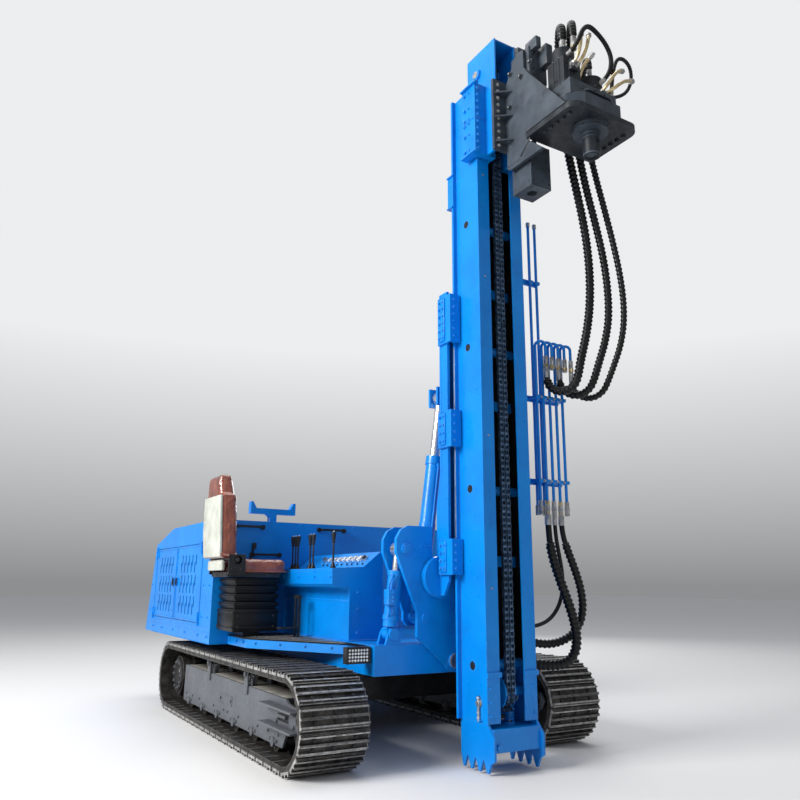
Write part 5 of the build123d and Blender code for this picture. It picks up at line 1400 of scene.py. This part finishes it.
def makeConsole(settings):
    chrome, face, dark, paint, rubber = (bmesh.new() for _ in range(5))
    slope = radians(settings["slope"])
    up, along = Vector((0, -sin(slope), cos(slope))), Vector(forward)

    def onPanel(x, down=0.0):  # a spot on the slanting panel
        return Vector((tracksX + x, settings["panelY"] - down, settings["panelZ"] - down * 0.8))

    def towards(angle):  # a direction on the dial
        return along * sin(angle) + up.cross(along) * cos(angle)

    for at, radius in settings["gauges"]:
        spot = onPanel(at)
        rod(chrome, spot + up * 0.004, spot + up * 0.018, radius * 1.10, 36, radius)
        rod(face, spot + up * 0.017, spot + up * 0.0188, radius * 0.86, 32)
        for tick in range(9):  # plain ticks round the dial
            ray = towards(radians(-120 + tick * 30)) * radius
            rod(dark, spot + up * 0.0190 + ray * 0.62, spot + up * 0.0190 + ray * 0.78, 0.0009, 4)
        ray = towards(1.0 + at * 3) * radius
        rod(dark, spot + up * 0.0195 - ray * 0.15, spot + up * 0.0195 + ray * 0.66, 0.0012, 5, 0.0005)
        rod(dark, spot + up * 0.0188, spot + up * 0.0205, 0.003, 12)
    for at in settings["keys"]:
        spot, corner = onPanel(at), Vector((0.004, 0.012, 0.003))
        rod(dark, spot + up * 0.010, spot + up * 0.030, 0.020, 24, 0.015)
        slab(chrome, spot + up * 0.030 - corner, spot + up * 0.030 + corner, 0.001)
    for at in settings["switches"]:
        spot = onPanel(at, 0.045)
        rod(dark, spot - up * 0.002, spot + up * 0.010, 0.007, 14)
        rod(chrome, spot + up * 0.008, spot + up * 0.030, 0.0035, 10, 0.005)
    for at in settings["levers"]:
        lever = (tracksX + at, settings["leverY"])
        for z, wide in settings["boot"]:
            post(rubber, lever, z, z + 0.010, wide, 20, wide * 0.80)
        post(dark, lever, 1.415, 1.425, 0.013, 20)
        for z in settings["grip"]:
            post(dark, lever, z, z + 0.004, 0.0128 + (z - 1.424) * 0.15, 20)
        hexBolt(chrome, (*lever, 1.494), upward, 0.012, washer=False)
    # Screws, welds and ribs along the edges
    hexBolts(paint, settings["screws"], -0.6645, 1.17, rightward, 0.014)
    hexBolts(paint, settings["screws"], -0.665, 1.205, rightward, 0.010)
    hexBolts(paint, 0.8255, -0.46, (0.79, 0.95, 1.06), forward, 0.014)
    weldBead(paint, (-0.365, -0.528, 0.737), (0.82, -0.528, 0.737), 0.005, 0.010)
    weldBead(paint, (0.8265, -0.52, 0.74), (0.8265, -0.28, 0.74), 0.005, 0.010)
    slab(paint, (-0.366, -0.5285, 1.000), (0.822, -0.522, 1.012), 0.002)
    slab(paint, (-0.02, -0.5275, 0.80), (0.012, -0.522, 1.00), 0.002)
    place(chrome, "gauge_rims", "machine", "chrome")
    place(face, "gauge_faces", "machine", "dial_white")
    place(dark, "console_knobs", "machine", "black_plastic")
    place(paint, "console_details", "machine", "blue_paint")
    place(rubber, "lever_boots", "machine", "rubber")


makeConsole(consoleSettings)
# head_base_plate takes the darker motor_paint as painted shade for its underside; the levers and spindle are
# dark parts
for nodeName in ("control_levers", "spindle", "head_base_plate"):
    repaint(nodeName, "motor_paint")

# Hood: hinges, latches, frame strips round the doors, screws, and behind the slots the engine guard and a
# black sheet as painted shade
hoodSettings = {
    "side": -1.14, "z": (0.80, 1.44), "guard": (-2.24, 0.122, 13),
    # body, x from and to, latch, x of the hinge, way its leaf points
    "doors": (
        ("rear_door", -2.300, -1.523, -1.573, -2.286, 1),
        ("front_door", -1.507, -0.695, -1.457, -0.709, -1),
    ),
    "sillBolts": (-2.25, -1.9, -1.5, -1.1, -0.7, -0.45),
    "bulkheadBolts": (-1.10, -0.95, -0.40, 0.10, 0.60, 1.20),
    "plugs": ((-0.864, 1.575), (-0.708, 1.35), (-0.11, 1.575)),
}


def makeDoorTrim(bm, dark, door, settings):
    side, (z0, z1) = settings["side"], settings["z"]
    _, x0, x1, latch, hinge, way = door
    for z in (z0 + 0.055, z1 - 0.055):
        post(bm, (hinge, side - 0.010), z - 0.028, z + 0.028, 0.009, 16)
        low, high = sorted((hinge, hinge + way * 0.050))
        slab(bm, (low, side - 0.006, z - 0.024), (high, side - 0.001, z + 0.024), 0.002)
        leafBolts = (hinge + way * 0.020, hinge + way * 0.040)
        hexBolts(bm, leafBolts, side - 0.006, z, rightward, 0.010, washer=False)
    outer, inner = 0.004, 0.016  # both edges of the strip that frames the door
    strips = (
        (x0 + outer, x1 - outer, z0 + outer, z0 + inner), (x0 + outer, x1 - outer, z1 - inner, z1 - outer),
        (x0 + outer, x0 + inner, z0 + inner, z1 - inner), (x1 - inner, x1 - outer, z0 + inner, z1 - inner),
    )
    for left, right, low, high in strips:
        slab(bm, (left, side - 0.0045, low), (right, side + 0.001, high), 0.0018)
    slab(dark, (latch - 0.019, side - 0.016, 1.090), (latch + 0.019, side - 0.008, 1.160), 0.004)
    slab(dark, (latch - 0.011, side - 0.022, 1.104), (latch + 0.011, side - 0.014, 1.142), 0.003)
    sideDisc(dark, (latch, side - 0.016, 1.150), -1, 0, 0.004, 0.006, 14)


def makeHood(settings):
    side = settings["side"]
    bodies = ("machine", "rear_door", "front_door")
    parts, darks = {body: bmesh.new() for body in bodies}, {body: bmesh.new() for body in bodies}
    for door in settings["doors"]:
        makeDoorTrim(parts[door[0]], darks[door[0]], door, settings)
    bm, dark = parts["machine"], darks["machine"]
    for z in (0.735, 0.775):
        slab(bm, (-2.30, side - 0.0030, z), (-0.42, side + 0.001, z + 0.004), 0.001)
    hexBolts(bm, settings["sillBolts"], side, 0.705, rightward, 0.015)
    hexBolts(bm, (-0.62, -0.46), side, (0.85, 1.10, 1.35), rightward, 0.012)
    for x, z in ((-2.42, 0.85), (-2.42, 1.10), (-2.36, 1.35)):  # the rear edge leans at the top
        hexBolt(bm, (x, side, z), rightward, 0.012)
    # a black sheet behind the slots, painted shade for the dark inside of the hood
    slab(dark, (-2.28, side + 0.060, 0.83), (-0.72, side + 0.066, 1.42), 0.002)
    first, gap, count = settings["guard"]
    for x in [first + step * gap for step in range(count)]:  # slats behind the slots
        slab(dark, (x, side + 0.046, 0.84), (x + 0.020, side + 0.062, 1.41), 0.003)
    for y, z in settings["plugs"]:
        for off in (-0.12, 0.12):
            rod(dark, (-0.374, y + off, z), (-0.362, y + off, z), 0.020, 20)
    hexBolts(bm, -0.375, settings["bulkheadBolts"], 1.605, forward, 0.011)
    weldBead(bm, (-2.30, side - 0.0005, 0.652), (-0.40, side - 0.0005, 0.652), 0.004, 0.012)
    for body in bodies:
        place(parts[body], "hood_trim_" + body, body, "blue_paint")
        place(darks[body], "hood_dark_trim_" + body, body, "black_plastic")


makeHood(hoodSettings)

# Work lamp: rim, diodes and cooling fins
lampSettings = {
    "x": 1.195, "y": (-0.725, -0.555), "z": (0.625, 0.728),
    "diodes": (7, 4), "diodeGap": 0.021, "diodeRadius": 0.0085, "fins": 9, "finGap": 0.019,
}


def makeLamp(settings):
    rim, glass, fins = (bmesh.new() for _ in range(3))
    x, (y0, y1), (z0, z1) = settings["x"], settings["y"], settings["z"]
    for low, high in (((y0, z0), (y1, z0 + 0.010)), ((y0, z1 - 0.010), (y1, z1)),
                      ((y0, z0), (y0 + 0.010, z1)), ((y1 - 0.010, z0), (y1, z1))):
        slab(rim, (x - 0.004, *low), (x + 0.008, *high), 0.002)
    slab(rim, (x - 0.002, y0 + 0.010, z0 + 0.010), (x + 0.002, y1 - 0.010, z1 - 0.010), 0.001)
    (columns, rows), gap = settings["diodes"], settings["diodeGap"]
    for row, column in product(range(rows), range(columns)):
        spot = (x + 0.001, y0 + 0.022 + column * gap, z0 + 0.020 + row * gap)
        bmesh.ops.create_uvsphere(glass, u_segments=12, v_segments=6, radius=settings["diodeRadius"],
                                  matrix=Matrix.Translation(spot) @ Matrix.Diagonal((0.5, 1, 1, 1)))
    for step in range(settings["fins"]):
        y = y0 + 0.008 + step * settings["finGap"]
        slab(fins, (x - 0.060, y, z0 + 0.004), (x - 0.048, y + 0.005, z1 - 0.004), 0.001)
    place(rim, "lamp_rim", "machine", "black_paint")
    place(glass, "lamp_lens", "machine", "lens")
    place(fins, "lamp_fins", "machine", "black_paint")


makeLamp(lampSettings)

# Deck: tread plate bars, bolts on its edge and the rubber strip round it
deckSettings = {
    "z": 0.730, "x": (-0.35, 0.66), "y": (-0.97, -0.57), "treadGap": 0.030,
    "edge": ((-0.350, -0.992), (0.050, -0.992), (0.855, -0.547), (1.120, -0.547)), "edgeZ": 0.722,
    "boltZ": 0.690, "straightBolts": (-0.33, -0.15, 0.0), "slantBolts": (0.1, 0.35, 0.6, 0.85),
}


def makeDeck(settings):
    bars, bolts, trim = (bmesh.new() for _ in range(3))
    (x0, x1), (y0, y1), gap = settings["x"], settings["y"], settings["treadGap"]
    slab(bars, (-0.014, -0.003, -0.0005), (0.014, 0.003, 0.0022), 0.001)
    spots = []
    for row, column in product(range(int((y1 - y0) / gap)), range(int((x1 - x0) / gap))):
        x, y = x0 + column * gap, y0 + row * gap
        if y - y0 < (x - 0.02) * 0.56 + 0.02 and x > 0.02:  # past the slanting edge
            continue
        turn = Matrix.Rotation(pi / 4 * (1 if (row + column) % 2 else -1), 4, "Z")
        spots.append(Matrix.Translation((x, y, settings["z"])) @ turn)
    stampCopies(bars, spots)
    z = settings["boltZ"]
    hexBolts(bolts, settings["straightBolts"], -0.990, z, rightward, 0.016)
    start, end = Vector((0.055, -0.99, z)), Vector((0.855, -0.545, z))
    for share in settings["slantBolts"]:
        hexBolt(bolts, start.lerp(end, share), (0.486, -0.874, 0), 0.016)
    line, _ = spaced([Vector((x, y, settings["edgeZ"])) for x, y in settings["edge"]], 0.03)
    tubeAlong(trim, line, [0.009] * len(line), 8)
    place(trim, "deck_edge_strip", "machine", "rubber")
    place(bars, "deck_tread", "machine", "black_paint")
    place(bolts, "deck_bolts", "machine", "blue_paint")


makeDeck(deckSettings)
print("console, hood, lamp and deck are detailed")
